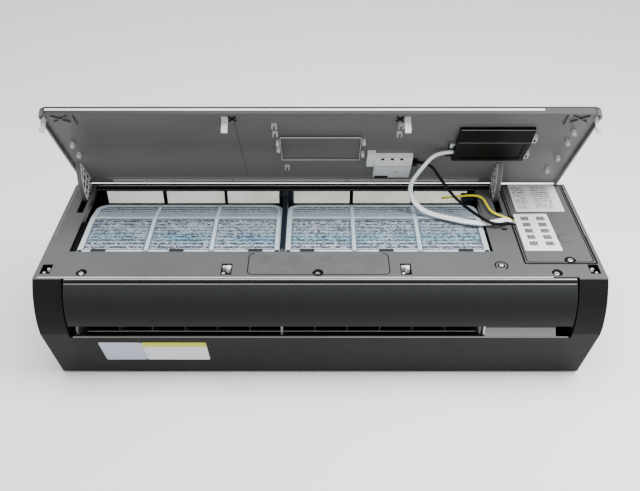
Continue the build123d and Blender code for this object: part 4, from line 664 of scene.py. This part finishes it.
def in_row(piece, count, step):
    """The piece repeated count times by a step in millimetres."""
    modifier = piece.modifiers.new("row", "NODES")
    modifier.node_group = row_tree()
    values = {"Count": count, "Step": [v * MM for v in step], "Finish": piece.data.materials[0]}
    for item in modifier.node_group.interface.items_tree:
        if item.in_out == "INPUT" and item.name in values:
            modifier[item.identifier] = values[item.name]
    piece.data = evaluated(piece)
    piece.modifiers.clear()
    return piece


# ---- frames of reference
ON_FACE = Matrix.Translation((0, 0, FACE))


def panel_place(depth=0):
    """Matrix from the panel's frame (x, from the hinge to the free edge, into the unit) to the unit's."""
    inward = Vector((0, -math.sin(OPEN_TURN), -math.cos(OPEN_TURN)))
    along = inward.cross(Vector((1, 0, 0)))
    axes = Matrix(((1, 0, 0), along, inward)).transposed().to_4x4()
    return Matrix.Translation(HINGE) @ axes @ Matrix.Translation((0, 0, depth))


def chin_place():
    """Matrix from the chin's face (x, up from the foot, outwards) to the unit's frame."""
    foot, kink = Vector((0, -111.5, 0)), Vector((0, -141.5, 110))
    up = (kink - foot).normalized()
    axes = Matrix(((1, 0, 0), up, Vector((1, 0, 0)).cross(up)))
    return Matrix.Translation(foot) @ axes.transposed().to_4x4()


# ---- settings
class UnitLook(PropertyGroup):
    casing_colour: bpy.props.FloatVectorProperty(
        name="Casing colour", description="Base colour of the casing's plastic", subtype="COLOR",
        size=3, min=0, max=1, default=(0.098, 0.0995, 0.102))
    panel_colour: bpy.props.FloatVectorProperty(
        name="Panel colour", description="Base colour of the panel's inner face", subtype="COLOR",
        size=3, min=0, max=1, default=(0.09, 0.0885, 0.086))
    thread_pitch: bpy.props.FloatProperty(
        name="Thread pitch", description="Distance between the filter net's ribs", default=0.0046,
        min=0.002, unit="LENGTH")
    fin_pitch: bpy.props.FloatProperty(
        name="Fin pitch", description="Distance between the coil's fins", default=0.002,
        min=0.001, unit="LENGTH")


class StageLook(PropertyGroup):
    key_power: bpy.props.FloatProperty(
        name="Overhead light", description="Power of the large soft light overhead", default=95, min=0,
        unit="POWER")
    side_power: bpy.props.FloatProperty(
        name="Side light", description="Power of the light over the electrical end", default=8, min=0,
        unit="POWER")
    sky: bpy.props.FloatProperty(
        name="Surroundings", description="Brightness of the pale surroundings", default=0.9, min=0)


# ---- operators
class UNIT_OT_stage(Operator):
    """Pale floor, soft lights, pale surroundings and a camera at the photograph's viewing angle"""
    bl_idname = "unit.stage"
    bl_label = "Stage"

    def execute(self, context):
        look = context.scene.stage_look
        floor = bmesh.new()
        floor.faces.new([floor.verts.new((x * FLOOR_HALF, y * FLOOR_HALF, FLOOR_Z))
                         for x, y in ((-1, -1), (1, -1), (1, 1), (-1, 1))])
        s = Shader("floor")
        s.close(Base_Color=s.mix(s.noise(2), (0.92, 0.92, 0.92), (0.95, 0.95, 0.95)), Roughness=0.9)
        new_object("floor", meshed("floor", floor), s.material)
        world = bpy.data.worlds.new("surroundings")
        world.use_nodes = True
        world.node_tree.nodes["Background"].inputs[0].default_value = (1, 1, 1, 1)
        world.node_tree.nodes["Background"].inputs[1].default_value = look.sky
        context.scene.world = world
        lamps = (("overhead", (0.35, -0.35, 2.4), (2.6, 1.6), look.key_power, None),
                 ("side", (0.6, -0.3, 1), (0.4, 0.4), look.side_power, (0.3, 0, 0.2)))
        for name, place, size, power, aim in lamps:
            light = bpy.data.lights.new(name, "AREA")
            light.shape = "RECTANGLE"
            light.size, light.size_y = size
            light.energy = power
            lamp = new_object(name, light)
            lamp.location = place
            if aim:
                lamp.rotation_euler = (Vector(aim) - Vector(place)).to_track_quat("-Z", "Y").to_euler()
        lens = bpy.data.cameras.new("camera")
        lens.lens = CAMERA_LENS
        lens.sensor_width = 36
        lens.shift_x, lens.shift_y = CAMERA_SHIFT
        camera = new_object("camera", lens)
        camera.location = CAMERA_PLACE
        camera.rotation_euler = (math.radians(CAMERA_TILT), 0, 0)
        context.scene.camera = camera
        return {"FINISHED"}


def spline_points(name, points):
    """Points along the NURBS spline that has the route's points as its control points."""
    curve = bpy.data.curves.new(name, "CURVE")
    curve.dimensions = "3D"
    line = curve.splines.new("NURBS")
    line.points.add(len(points) - 1)
    for point, place in zip(line.points, points):
        point.co = (*[v * MM for v in place], 1)
    line.order_u = 3
    line.use_endpoint_u = True
    line.resolution_u = 10
    carrier = new_object(name, curve)
    places = [vertex.co.copy() for vertex in evaluated(carrier).vertices]
    bpy.data.objects.remove(carrier)
    return places


def swept(name, line, width, thick, side, material):
    """A flat or round lead along a line; its section is carried along without twisting."""
    side = Vector(side)
    power = 0.62 if width > thick else 1
    rings = []
    for n, point in enumerate(line):
        way = (line[min(n + 1, len(line) - 1)] - line[max(n - 1, 0)]).normalized()
        side = (side - way * side.dot(way)).normalized()
        over = way.cross(side)
        ring = []
        for k in range(LEAD_SIDES):
            c, s = math.cos(math.tau * k / LEAD_SIDES), math.sin(math.tau * k / LEAD_SIDES)
            a, b = math.copysign(abs(c) ** power, c), math.copysign(abs(s) ** power, s)
            ring.append(point + side * (a * width / 2 * MM) + over * (b * thick / 2 * MM))
        rings.append(ring)
    form = bmesh.new()
    skin_into(form, rings)
    bmesh.ops.recalc_face_normals(form, faces=form.faces)
    mesh = meshed(name, form)
    mesh.shade_smooth()
    return new_object(name, mesh, finishes()[material])


class UNIT_OT_cables(Operator):
    """White display lead, black module cable and yellow earth wire"""
    bl_idname = "unit.cables"
    bl_label = "Cables"

    def execute(self, context):
        leads = (("display_lead", DISPLAY_CABLE, 8.4, 4.2, "cable_white", 0.325, "display_cable", "limp",
                  (0.192, 0.298)),
                 ("module_lead", MODULE_CABLE, 5, 5, "cable_black", 0.237, "module_cable", "medium",
                  (0.198, 0.272)),
                 ("earth_lead", EARTH_WIRE, 3.5, 3.5, "earth_yellow", 0.172, "earth_wire", "medium", ()))
        for name, route, width, thick, slot, length, node, stiffness, heights in leads:
            line = spline_points(name + "_line", route)
            piece = swept(name, line, width, thick, LEAD_FLAT, slot)
            if heights:
                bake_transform(piece)
            else:
                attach(piece, "base")
            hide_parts(node)
            list(line[0])
            [list(point) for point in line]
        return {"FINISHED"}


class UNIT_OT_frame_finishes(Operator):
    """Finishes on every piece that is carried over from the frame"""
    bl_idname = "unit.frame_finishes"
    bl_label = "Carried-over pieces"

    def execute(self, context):
        own = {"duct_end_block": "duct_pale", "pocket_plate": "pocket_grey", "wireless_module": "module_pale",
               "filter_frame_left": "frame_pale", "filter_frame_right": "frame_pale",
               "hinge_arm_left": "arm_grey", "hinge_arm_right": "arm_grey"}
        for row in frame["record"]["subparts"]:
            name = row["node"]
            look = "vane_grey" if name.startswith("vane_") else own.get(name, row["material_slot"])
            materials = NODES[name].data.materials
            materials.clear()
            materials.append(finishes()[look])
        return {"FINISHED"}


def clipped(piece, planes):
    """The piece with what lies beyond each (point, outward) plane cut off."""
    form = bmesh.new()
    form.from_mesh(piece.data)
    for point, outward in planes:
        bmesh.ops.bisect_plane(form, geom=form.verts[:] + form.edges[:] + form.faces[:],
                               plane_co=[v * MM for v in point], plane_no=outward, clear_outer=True)
    bmesh.ops.holes_fill(form, edges=[edge for edge in form.edges if edge.is_boundary])
    form.to_mesh(piece.data)
    form.free()
    return piece


def net_row(name, span, low, high, planes, pitch):
    """Threads both ways over one row of windows, and the gauze between them, in the row's own plane."""
    first, last = span[0] + NET_INSET, span[1] - NET_INSET
    half = pitch / 2
    parts = []
    for start, end, width, height, length, step in (
            ((first, low + half, 0), (last, low + half, 0), 0.9, 0.55, high - low, (0, pitch, 0)),
            ((first + half, low, 0), (first + half, high, 0), 0.8, 0.5, last - first, (pitch, 0, 0))):
        thread = bmesh.new()
        bead_into(thread, start, end, width, height, sunk=0.35)
        parts.append(in_row(piece_from(name, thread, "thread_blue"), int(length / pitch), step))
    sheet = bmesh.new()
    box_into(sheet, (first, low, -0.25), (last, high, 0))
    parts.append(piece_from(name, sheet, "filter_mesh"))
    return [clipped(part, planes) for part in parts]


def filter_strips(side, span, bars, flat_place, slope_place):
    """Raised pale strips along a filter's rim, bend and bars, with a dark line inside each window as painted shadow
    of the frame.
    """
    low, high = 1, FILTER_THICK / 2 + 0.3
    left, right = span[0] + 0.7, span[1] - 0.7
    near, far = 0.7, FILTER_SLOPE - 0.7
    flat, slope, lines = bmesh.new(), bmesh.new(), bmesh.new()
    for form, start, end in ((flat, near, FILTER_FLAT), (slope, 0, far)):
        for x in bars:
            for half, rise in ((2.9, 0), (0.9, 0.35)):
                box_into(form, (x - half, start + 2, low), (x + half, end - 2, high + rise), 0.3)
    box_into(flat, (left, near, low), (left + STRIP, FILTER_FLAT, high), 0.3)
    box_into(flat, (right - STRIP, near, low), (right, FILTER_FLAT, high), 0.3)
    box_into(flat, (left, near, low), (right, near + 8, high), 0.3)
    # Painted shadow: a dark line just inside each window.
    for start, end in zip([left + 8] + [x + 4 for x in bars], [x - 4 for x in bars] + [right - 8]):
        ring_into(lines, (start, near + 9), (end, FILTER_FLAT - 4), 1.5, 0.8, low, high - 0.1)
    outer, inner = ([(right - gap, 0),
                     *arc_loop((right - FILTER_CORNER, far - FILTER_CORNER), FILTER_CORNER - gap, 0, 90, 8),
                     *arc_loop((left + FILTER_CORNER, far - FILTER_CORNER), FILTER_CORNER - gap, 90, 180, 8),
                     (left + gap, 0)] for gap in (0, STRIP))
    band_into(slope, outer, inner, low, high, closed=False)
    box_into(slope, (left + 6, -2.2, low), (right - 6, 2.4, high + 0.3), 0.4)
    strips = [piece_from("flat_strips", flat, "frame_pale", flat_place),
              piece_from("slope_strips", slope, "frame_pale", slope_place),
              piece_from("lines", lines, "thread_blue", flat_place)]
    mounted(merged("filter_strips_" + side, strips), "filter_" + side)


class UNIT_OT_filters(Operator):
    """Nets, finger grips and frame strips of the two filters"""
    bl_idname = "unit.filters"
    bl_label = "Filters"

    def execute(self, context):
        pitch = context.scene.unit_look.thread_pitch / MM
        flat_place = Matrix.Translation((0, FILTER_Y, FILTER_MID))
        slope_place = Matrix.Translation((0, FILTER_Y + FILTER_FLAT, FILTER_MID))
        slope_place = slope_place @ Matrix.Rotation(-math.radians(FILTER_LEAN), 4, "X")
        for side, span in FILTERS.items():
            planes = []
            for x, way in ((span[0] + FILTER_CORNER, -1), (span[1] - FILTER_CORNER, 1)):
                middle = Vector((x, FILTER_SLOPE - FILTER_CORNER, 0))
                for angle in (15, 45, 75):
                    turn = math.radians(angle)
                    outward = Vector((way * math.cos(turn), math.sin(turn), 0))
                    planes.append((middle + outward * (FILTER_CORNER - 5), outward))
            rows = ((flat_place, NET_INSET, FILTER_FLAT, []), (slope_place, 0, FILTER_SLOPE - NET_INSET, planes))
            parts = []
            for place, low, high, cuts in rows:
                for part in net_row("net_" + side, span, low, high, cuts, pitch):
                    part.data.transform(Matrix.Scale(MM, 4) @ place @ Matrix.Scale(1 / MM, 4))
                    parts.append(part)
            mounted(merged("net_" + side, parts), "filter_" + side, ["filter_net_" + side])
            width = (span[1] - span[0] - 2 * FILTER_RIM - (FILTER_COLUMNS - 1) * FILTER_BAR) / FILTER_COLUMNS
            bars = [span[0] + FILTER_RIM + n * (width + FILTER_BAR) - FILTER_BAR / 2
                    for n in range(1, FILTER_COLUMNS)]
            trim("filter_grips_" + side, "filter_" + side, "soft_edge", "filter_plastic", prisms=[
                (arc_loop((x, FILTER_Y - 14.5), 20.5, 125, 55, 8), FILTER_MID + 1.2, FILTER_MID + 2.2, 0.4)
                for x in bars])
            filter_strips(side, span, bars, flat_place, slope_place)
        return {"FINISHED"}


class UNIT_OT_coil(Operator):
    """Finned coil"""
    bl_idname = "unit.coil"
    bl_label = "Coil"

    def execute(self, context):
        pitch = context.scene.unit_look.fin_pitch / MM
        first, last = COIL_SPAN
        left, right = [], []
        ways = [(Vector(b) - Vector(a)).normalized() for a, b in zip(COIL_LINE, COIL_LINE[1:])]
        for n, point in enumerate(COIL_LINE):
            turn = ways[max(n - 1, 0)] + ways[min(n, len(ways) - 1)]
            side = Vector((-turn[1], turn[0])) / turn.length * (COIL_THICK / turn.length)
            left.append(Vector(point) + side)
            right.append(Vector(point) - side)
        loop = left + right[::-1]
        fin = bmesh.new()
        skin_into(fin, [[(x, y, z) for y, z in loop] for x in (first, first + FIN_THICK)])
        fins = in_row(piece_from("coil_fins", fin, "coil_fins"), int((last - first) / pitch), (pitch, 0, 0))
        tubes = bmesh.new()
        for start, way, end in zip(COIL_LINE, ways, COIL_LINE[1:]):
            length = math.dist(start, end)
            number = int((length - 8) / TUBE_PITCH)
            for n in range(number):
                middle = Vector(start) + way * ((n + 0.5) * length / number)
                for shift in (-6, 6):
                    y, z = middle + Vector((-way[1], way[0])) * shift
                    turn = Matrix.Translation(((first + last) / 2, y, z)) @ Matrix.Rotation(math.pi / 2, 4, "Y")
                    bmesh.ops.create_cone(tubes, cap_ends=True, segments=10, radius1=3.4, radius2=3.4,
                                          depth=last - first - 1, matrix=turn)
        mounted(merged("finned_coil", [fins, piece_from("coil_tubes", tubes, "copper")]), "base",
                ["evaporator"])
        return {"FINISHED"}


class UNIT_OT_screens(Operator):
    """Cream screens in the first row of intake windows"""
    bl_idname = "unit.screens"
    bl_label = "Window screens"

    def execute(self, context):
        shares = ((0, 0.323), (0.343, 0.677), (0.693, 1))
        trim("window_screens", "base", "screen_cream", None, ON_FACE, boxes=[
            ((low + (high - low) * start, Y_FAR - 1.4, -41), (low + (high - low) * end, Y_FAR - 1, -14))
            for low, high in ((BAY_LEFT + 12, RIB_X - 11), (RIB_X + 12, BAY_RIGHT - 8)) for start, end in shares])
        return {"FINISHED"}


class UNIT_OT_face_trim(Operator):
    """Edges, grooves and small fittings on the casing's face: painted highlight on beads along the edges, painted
    shade in the grooves
    """
    bl_idname = "unit.face_trim"
    bl_label = "Face trim"

    def execute(self, context):
        (cover_left, cover_near), (cover_right, cover_far) = COVER
        (pocket_left, pocket_near), (pocket_right, pocket_far) = POCKET
        # Painted highlight: pale beads along the face's near and far edges.
        trim("near_edge_bead", "base", "lit_edge", "casing_grey", ON_FACE, lines=(
            (-HALF + 7, 338, Y_NEAR + 2, -0.1, 2.4, 0.8),
            (-HALF + 40, cover_left - 18, Y_FAR - 8.4, 0, 1.6, 0.4)))
        # Painted highlight: grey beads along the outlet's lip, the pocket's far edge and the face's side edges.
        trim("edge_beads", "base", "soft_edge", "casing_grey", ON_FACE, lines=(
            (-HALF + 46, HALF - 46, LIP[0] + 1.4, LIP[1] - FACE, 2.6, 0.8),
            (pocket_left + 8, pocket_right - 8, pocket_far - 0.4, 0, 0.8, 0.25)),
            beads=[((x, -12, 0), (x, 120, 0), 1.2, 0.4) for x in (-HALF + 4.5, HALF - 4.5)])
        # Painted shade: near-black lines, rings and arcs in the grooves, round the pocket and the cover, round the
        # button and over the screw recesses.
        groove = (-0.4, 0.08)
        trim("face_grooves", "base", "groove_dark", "casing_grey", ON_FACE, lines=(
            (-HALF + 36, cover_left - 18, Y_BAY_FAR + 6.2, 0, 11, 0.3),
            (-HALF + 20, cover_left - 6, Y_FAR - 4.6, 0, 5.6, 0.5)),
            rings=(((pocket_left - 0.7, pocket_near - 0.7), (pocket_right + 0.7, pocket_far + 0.7), 8.5, 1.5,
                    -0.6, 0.06),
                   ((cover_left - 1.2, cover_near - 1.2), (cover_right + 0.8, cover_far + 0.8), 5.5, 3,
                    -0.6, 0.08),
                   ((cover_left + 3.2, cover_near + 3.2), (cover_right - 3.2, cover_far - 3.2), 7, 1.7,
                    -0.3, 0.07)),
            arcs=[(BUTTON, 10.4, 8.2, -60, 215, 30, *groove), (BUTTON, 5.4, 3.3, 0, 359.9, 24, *groove)]
            + [((x, Y_NEAR + 13), 8.6, 7.5, -70, 110, 16, -0.5, 0.08) for x in FACE_SCREWS_X],
            boxes=[((285.5, 3, -0.4), (294.5, 8, 0.1))])
        return {"FINISHED"}


class UNIT_OT_louver_lines(Operator):
    """Painted highlight on the lip and the edge, and painted shadow in the gap, along the louver's top"""
    bl_idname = "unit.louver_lines"
    bl_label = "Louver lines"

    def execute(self, context):
        # A painted highlight on the lip, a painted shadow in the gap below it, and a painted highlight on the
        # louver's edge.
        for name, look, z, width, height in (("louver_lip", "lit_edge", 195.6, 1.4, 0.6),
                                             ("louver_shadow", "groove_dark", 193.1, 3.4, 0.9),
                                             ("louver_edge", "soft_edge", 190.8, 1.2, 0.7)):
            hit, spot, outward, _ = NODES["louver"].ray_cast((0.1, -0.3, z * MM), (0, 1, 0))
            if not hit:
                raise RuntimeError("the louver has no surface at this height")
            trim(name, "louver", look, "louver_dark", lines=[
                (-LOUVER_HALF + 1, LOUVER_HALF - 1, spot[1] / MM, z, width, height, outward)])
        return {"FINISHED"}


class UNIT_OT_sockets(Operator):
    """White catches in the latch sockets, with painted shade in their holes and round their rims"""
    bl_idname = "unit.sockets"
    bl_label = "Latch sockets"

    def execute(self, context):
        y = LATCH_Y
        white, black, rings = [], [], []
        for x in LATCH_X:
            rings.append(((x - 7.9, y - 12.9), (x + 7.9, y + 12.9), 1.5, 1.3, -6, 0.3))
            white += [((x - 0.5, y + 2.2, -9), (x + 6.2, y + 10.8, -0.6), 0.8),
                      ((x - 6.2, y - 11.2, -9), (x - 2, y - 6.4, -1), 0.6)]
            black.append(((x - 6.6, y - 11.6, -14.4), (x + 6.6, y + 11.6, -10)))
        for x in CORNER_X:
            way = math.copysign(1, x)
            far, near = x - way, x + way * 3.4
            rings.append(((x - 7.5, y - 10.9), (x + 7.5, y + 10.9), 1, 0.4, -9, 0.2))
            white += [((far - 2, y + 5, -9), (far + 2.6, y + 7, -3.5), 0.5),
                      ((near - 1.6, y - 4.4, -9), (near + 1.6, y - 1.6, -3.5), 0.5)]
            black.append(((x - 6.4, y - 9.9, -14.4), (x + 6.4, y + 9.9, -10)))
        trim("socket_catches", "base", "bright_edge", "light_plastic", ON_FACE, boxes=white)
        # Painted shade: near-black boxes deep in the sockets and rings round them.
        trim("socket_painted_shade", "base", "groove_dark", "casing_dark", ON_FACE, boxes=black, rings=rings)
        return {"FINISHED"}


class UNIT_OT_bay_clips(Operator):
    """Dark blocks at the far end of the filter bays"""
    bl_idname = "unit.bay_clips"
    bl_label = "Bay clips"

    def execute(self, context):
        boxes, beads = [], []
        for x, width, low, top in ((RIB_X, 23, Y_BAY_FAR - 15, -1.2), (250, 22, Y_BAY_FAR - 17, -7)):
            boxes.append(((x - width / 2, low, -19), (x + width / 2, Y_BAY_FAR + 1.5, top), 1.4))
            beads += [((x + width * shift, low + 1.5, top - 0.1), (x + width * shift, Y_BAY_FAR, top - 0.1), 2.6, 1.3)
                      for shift in (-0.3, 0, 0.3)]
        boxes.append(((RIB_X - 4, FILTER_Y + 6, -18), (RIB_X + 4, Y_BAY_FAR - 14, -0.8), 1))
        trim("bay_clips", "base", "navy_plastic", "casing_dark", ON_FACE, boxes=boxes, beads=beads)
        return {"FINISHED"}


class UNIT_OT_slot_parts(Operator):
    """Rail in painted shade, painted highlight and middle post seen in the air outlet"""
    bl_idname = "unit.slot_parts"
    bl_label = "Outlet slot"

    def execute(self, context):
        post = bmesh.new()
        loop = ((-131, 98), (-126.5, 98), (-118.9, 123.5), (-123.6, 123.5))
        skin_into(post, [[(x, y, z) for y, z in loop] for x in (RIB_X - 1.6, RIB_X + 1.6)])
        mounted(piece_from("slot_post", post, "strip_grey"), "base")
        # Painted shade: the rail is near-black.
        trim("slot_rail", "base", "groove_dark", "pan_plastic",
             boxes=[((-352, -129.2, 96.5), (236, -127.8, 104.6), 0.4)])
        # Painted highlight: a pale bead along the rail's top and a pale strip by the right end.
        trim("slot_highlight", "base", "lit_edge", "pan_plastic", lines=[(-350, 234, -128.5, 104.4, 1.2, 0.6)],
             boxes=[((244.6, -133.5, 101.5), (246.8, -118, 120), 0.4)])
        return {"FINISHED"}


class UNIT_OT_stickers(Operator):
    """Stickers without words on the cover and the chin"""
    bl_idname = "unit.stickers"
    bl_label = "Stickers"

    def execute(self, context):
        chin = chin_place()
        plates = (("cover_sticker", "paper_dashed", ON_FACE, 2, 0.28,
                   ((319.7, 135.4), (398.4, 135.4), (397.9, 55.2), (318.6, 54.3))),
                  ("cover_sticker_narrow", "paper_barred", ON_FACE, 2, 0.28,
                   ((311.6, 47.4), (365.9, 48.5), (368.2, -51.2), (311.6, -51.2))),
                  ("chin_sticker_left", "paper_lilac", chin, 3, 0.3,
                   ((-337.2, 91.1), (-272.5, 90.5), (-269.7, 40.5), (-333.1, 40))),
                  ("chin_sticker_right", "paper_plain", chin, 3, 0.3,
                   ((-272.1, 90.5), (-173.8, 90.5), (-172.1, 40), (-269.3, 40.5))),
                  ("chin_sticker_band", "paper_lime", chin, 3, 0.42,
                   ((-271, 90.7), (-173.6, 90.7), (-173.2, 78), (-271.3, 78))))
        for name, look, place, radius, high, corners in plates:
            trim(name, "base", look, None, place, prisms=[(cut_corners(corners, radius), -0.1, high, 0.1)])
        return {"FINISHED"}


class UNIT_OT_cover_trim(Operator):
    """Thumb recess and screw seat of the electrical cover, with painted shade round the recess and in the seat"""
    bl_idname = "unit.cover_trim"
    bl_label = "Cover trim"

    def execute(self, context):
        dome = bmesh.new()
        flattened = Matrix.Translation((*DIMPLE, -0.2)) @ Matrix.Diagonal((1, 1, 0.24, 1))
        bmesh.ops.create_uvsphere(dome, u_segments=20, v_segments=8, radius=10, matrix=flattened)
        mounted(piece_from("cover_dimple", dome, "casing_grey", ON_FACE), "base")
        # Painted shade: near-black arcs round the recess and the screw seat, and a near-black floor in the seat.
        trim("cover_screw_seat", "base", "groove_dark", "casing_grey", ON_FACE,
             arcs=((DIMPLE, 11.6, 9.6, 40, 200, 18, -0.4, 0.12),
                   (COVER_SCREW, 8.8, 7.3, -20, 200, 20, -0.4, 0.1)),
             prisms=[(arc_loop(COVER_SCREW, 8.2, -10, 190, 18), -0.4, 0.06)])
        return {"FINISHED"}


class UNIT_OT_panel_trim(Operator):
    """Edges, hinge-side strips and small ribs on the panel's inner face; the edge beads are painted highlights"""
    bl_idname = "unit.panel_trim"
    bl_label = "Panel trim"

    def execute(self, context):
        place = panel_place(PANEL_INNER)
        # Painted highlight: a near-white bead along the free edge's rim.
        trim("panel_edge_bead", "panel", "bright_edge", "panel_grey", place, lines=[
            (-PANEL_HALF + 12, 318, FREE_EDGE, -1.6, 3.2, 0.6, (0, 1, 0))])
        ends = [-355, *FLANGE_RIBS_X, 271]
        trim("hinge_side_strips", "panel", "bright_edge", "panel_grey", place, boxes=[
            ((low + 2.5, 2, -0.2), (high - 2.5, 15.5, 0.5), 0.2) for low, high in zip(ends, ends[1:])]
            + [((x - 0.9, 1.5, 0), (x + 0.9, 17, 3.3), 0.2) for x in FLANGE_RIBS_X])
        # Painted highlight: pale beads along the holder's rails.
        trim("holder_beads", "panel", "lit_edge", "panel_grey", place,
             lines=[(*HOLDER_X, y, 2.9, 1.8, 0.5) for y in HOLDER_Y],
             beads=[((x, HOLDER_Y[0], 2.9), (x, HOLDER_Y[1], 2.9), 1, 0.4) for x in HOLDER_X])
        crosses = [((x - 5, 219 - lean, 0), (x + 5, 219 + lean, 0), 1.4, 3)
                   for x in (LATCH_X[0] + 11, LATCH_X[1] - 11) for lean in (-6, 6)]
        seam = ((-125.7, 211, 0), (-121.4, 17.5, 0), 0.7, 0.12, (0, 0, 1), 0.1)
        trim("panel_ribs", "panel", "casing_dark", "panel_grey", place, beads=[*crosses, seam])
        return {"FINISHED"}


class UNIT_OT_arm_lattice(Operator):
    """Pale ribs of the hinge arms' lattice, on both sides of each arm"""
    bl_idname = "unit.arm_lattice"
    bl_label = "Hinge arm lattice"

    def execute(self, context):
        ribs = (((14, -17), (74, -17)), ((8, -6), (68, -12)), ((8, -1), (58, 2)), ((9, 5), (42, 14)),
                ((10, 12), (28, 20)), ((24, -16), (20, 20)), ((42, -16), (34, 16)), ((60, -16), (50, 7)))
        rim = ((74.4, -16), (68.1, -7), (59.8, 2), (52.7, 8), (42.7, 14.5), (30.7, 20), (20, 22.6), (10, 22.6))
        runs = [(*run, 1.7) for run in ribs] + [(*run, 2.2) for run in zip(rim, rim[1:])]
        for side, x in zip(("left", "right"), ARM_X):
            trim("arm_lattice_" + side, "panel", "module_pale", "light_plastic", panel_place(), beads=[
                ((x + way * ARM_THICK / 2, *start), (x + way * ARM_THICK / 2, *end), width, 0.8, (way, 0, 0))
                for way in (-1, 1) for start, end, width in runs])
        return {"FINISHED"}


class UNIT_OT_display_trim(Operator):
    """Fold line, ear screw and stops of the display's housing, and the module's seams; painted highlight on the fold
    and the far edge, painted shade in the slots and seams
    """
    bl_idname = "unit.display_trim"
    bl_label = "Display trim"

    def execute(self, context):
        place = panel_place(PANEL_INNER)
        left, right = DISPLAY_X
        stop_low, stop_high = right + 1.4, right + 7.2
        # Painted highlight: grey beads along the housing's far edge and its fold.
        trim("display_edges", "panel", "soft_edge", "black_plastic", place, lines=(
            (left + 1, right - 1, DISPLAY_FAR - 0.6, 5.2, 1.2, 0.5),
            (left + 1, right - 1, DISPLAY_FOLD, 10.8, 0.8, 0.4)))
        trim("display_ear_screw", "panel", "screw_steel", "screw_steel", place,
             prisms=[(arc_loop((202.2, 138), 3.4, 0, 330, 11), 3.8, 5.4, 0.6)],
             boxes=[((198.2, 144.2, 1), (206.4, 148.6, 6.2), 0.6)])
        first, last = MODULE_X
        # Painted shade: near-black slots for the stops and near-black seams and holes on the module.
        trim("display_slots", "panel", "groove_dark", "black_plastic", place,
             boxes=[((stop_low + 1, y - 4.6, 7.6), (stop_high - 1, y + 4.6, 8.15)) for y in STOPS_Y]
             + [((122, 58, 8.4), (125.6, 60.6, 9.35)),
                ((first + 2, 38.5, 8.4), (first + 24, 42, 10.55))]
             + [((first + x, 104, 8.4), (first + x + 5, 105.4, 10.6)) for x in (9, 24, 39)],
             lines=((first + 2, last - 2, 106.2, 7.1, 0.9, 0.25),
                    (first + 1, last - 1, MODULE_FAR - 26, 10.45, 0.7, 0.2)))
        trim("stop_rims", "panel", "module_pale", "light_plastic", place, rings=[
            ((stop_low, y - 6.2), (stop_high, y + 6.2), 0.8, 1, 7.4, 8.5) for y in STOPS_Y])
        return {"FINISHED"}


OPERATORS = [UNIT_OT_cables, UNIT_OT_frame_finishes, UNIT_OT_filters, UNIT_OT_coil,
             UNIT_OT_screens, UNIT_OT_face_trim, UNIT_OT_louver_lines, UNIT_OT_sockets, UNIT_OT_bay_clips,
             UNIT_OT_slot_parts, UNIT_OT_stickers, UNIT_OT_cover_trim, UNIT_OT_panel_trim, UNIT_OT_arm_lattice,
             UNIT_OT_display_trim, UNIT_OT_stage]


class UNIT_PT_panel(Panel):
    """Lists the pieces' operators and their settings"""
    bl_idname = "UNIT_PT_panel"
    bl_label = "Indoor unit"
    bl_space_type = "VIEW_3D"
    bl_region_type = "UI"
    bl_category = "Indoor unit"

    def draw(self, context):
        for group in (context.scene.unit_look, context.scene.stage_look):
            for name in group.__annotations__:
                self.layout.prop(group, name)
        for operator in OPERATORS:
            self.layout.operator(operator.bl_idname)


CLASSES = [UnitLook, StageLook, *OPERATORS, UNIT_PT_panel]


def register():
    for item in CLASSES:
        bpy.utils.register_class(item)
    bpy.types.Scene.unit_look = bpy.props.PointerProperty(type=UnitLook)
    bpy.types.Scene.stage_look = bpy.props.PointerProperty(type=StageLook)


def unregister():
    del bpy.types.Scene.stage_look
    del bpy.types.Scene.unit_look
    for item in reversed(CLASSES):
        bpy.utils.unregister_class(item)


def main():
    register()
    for operator in OPERATORS:
        getattr(bpy.ops.unit, operator.bl_idname.split(".")[1])()


if __name__ == "__main__":
    main()
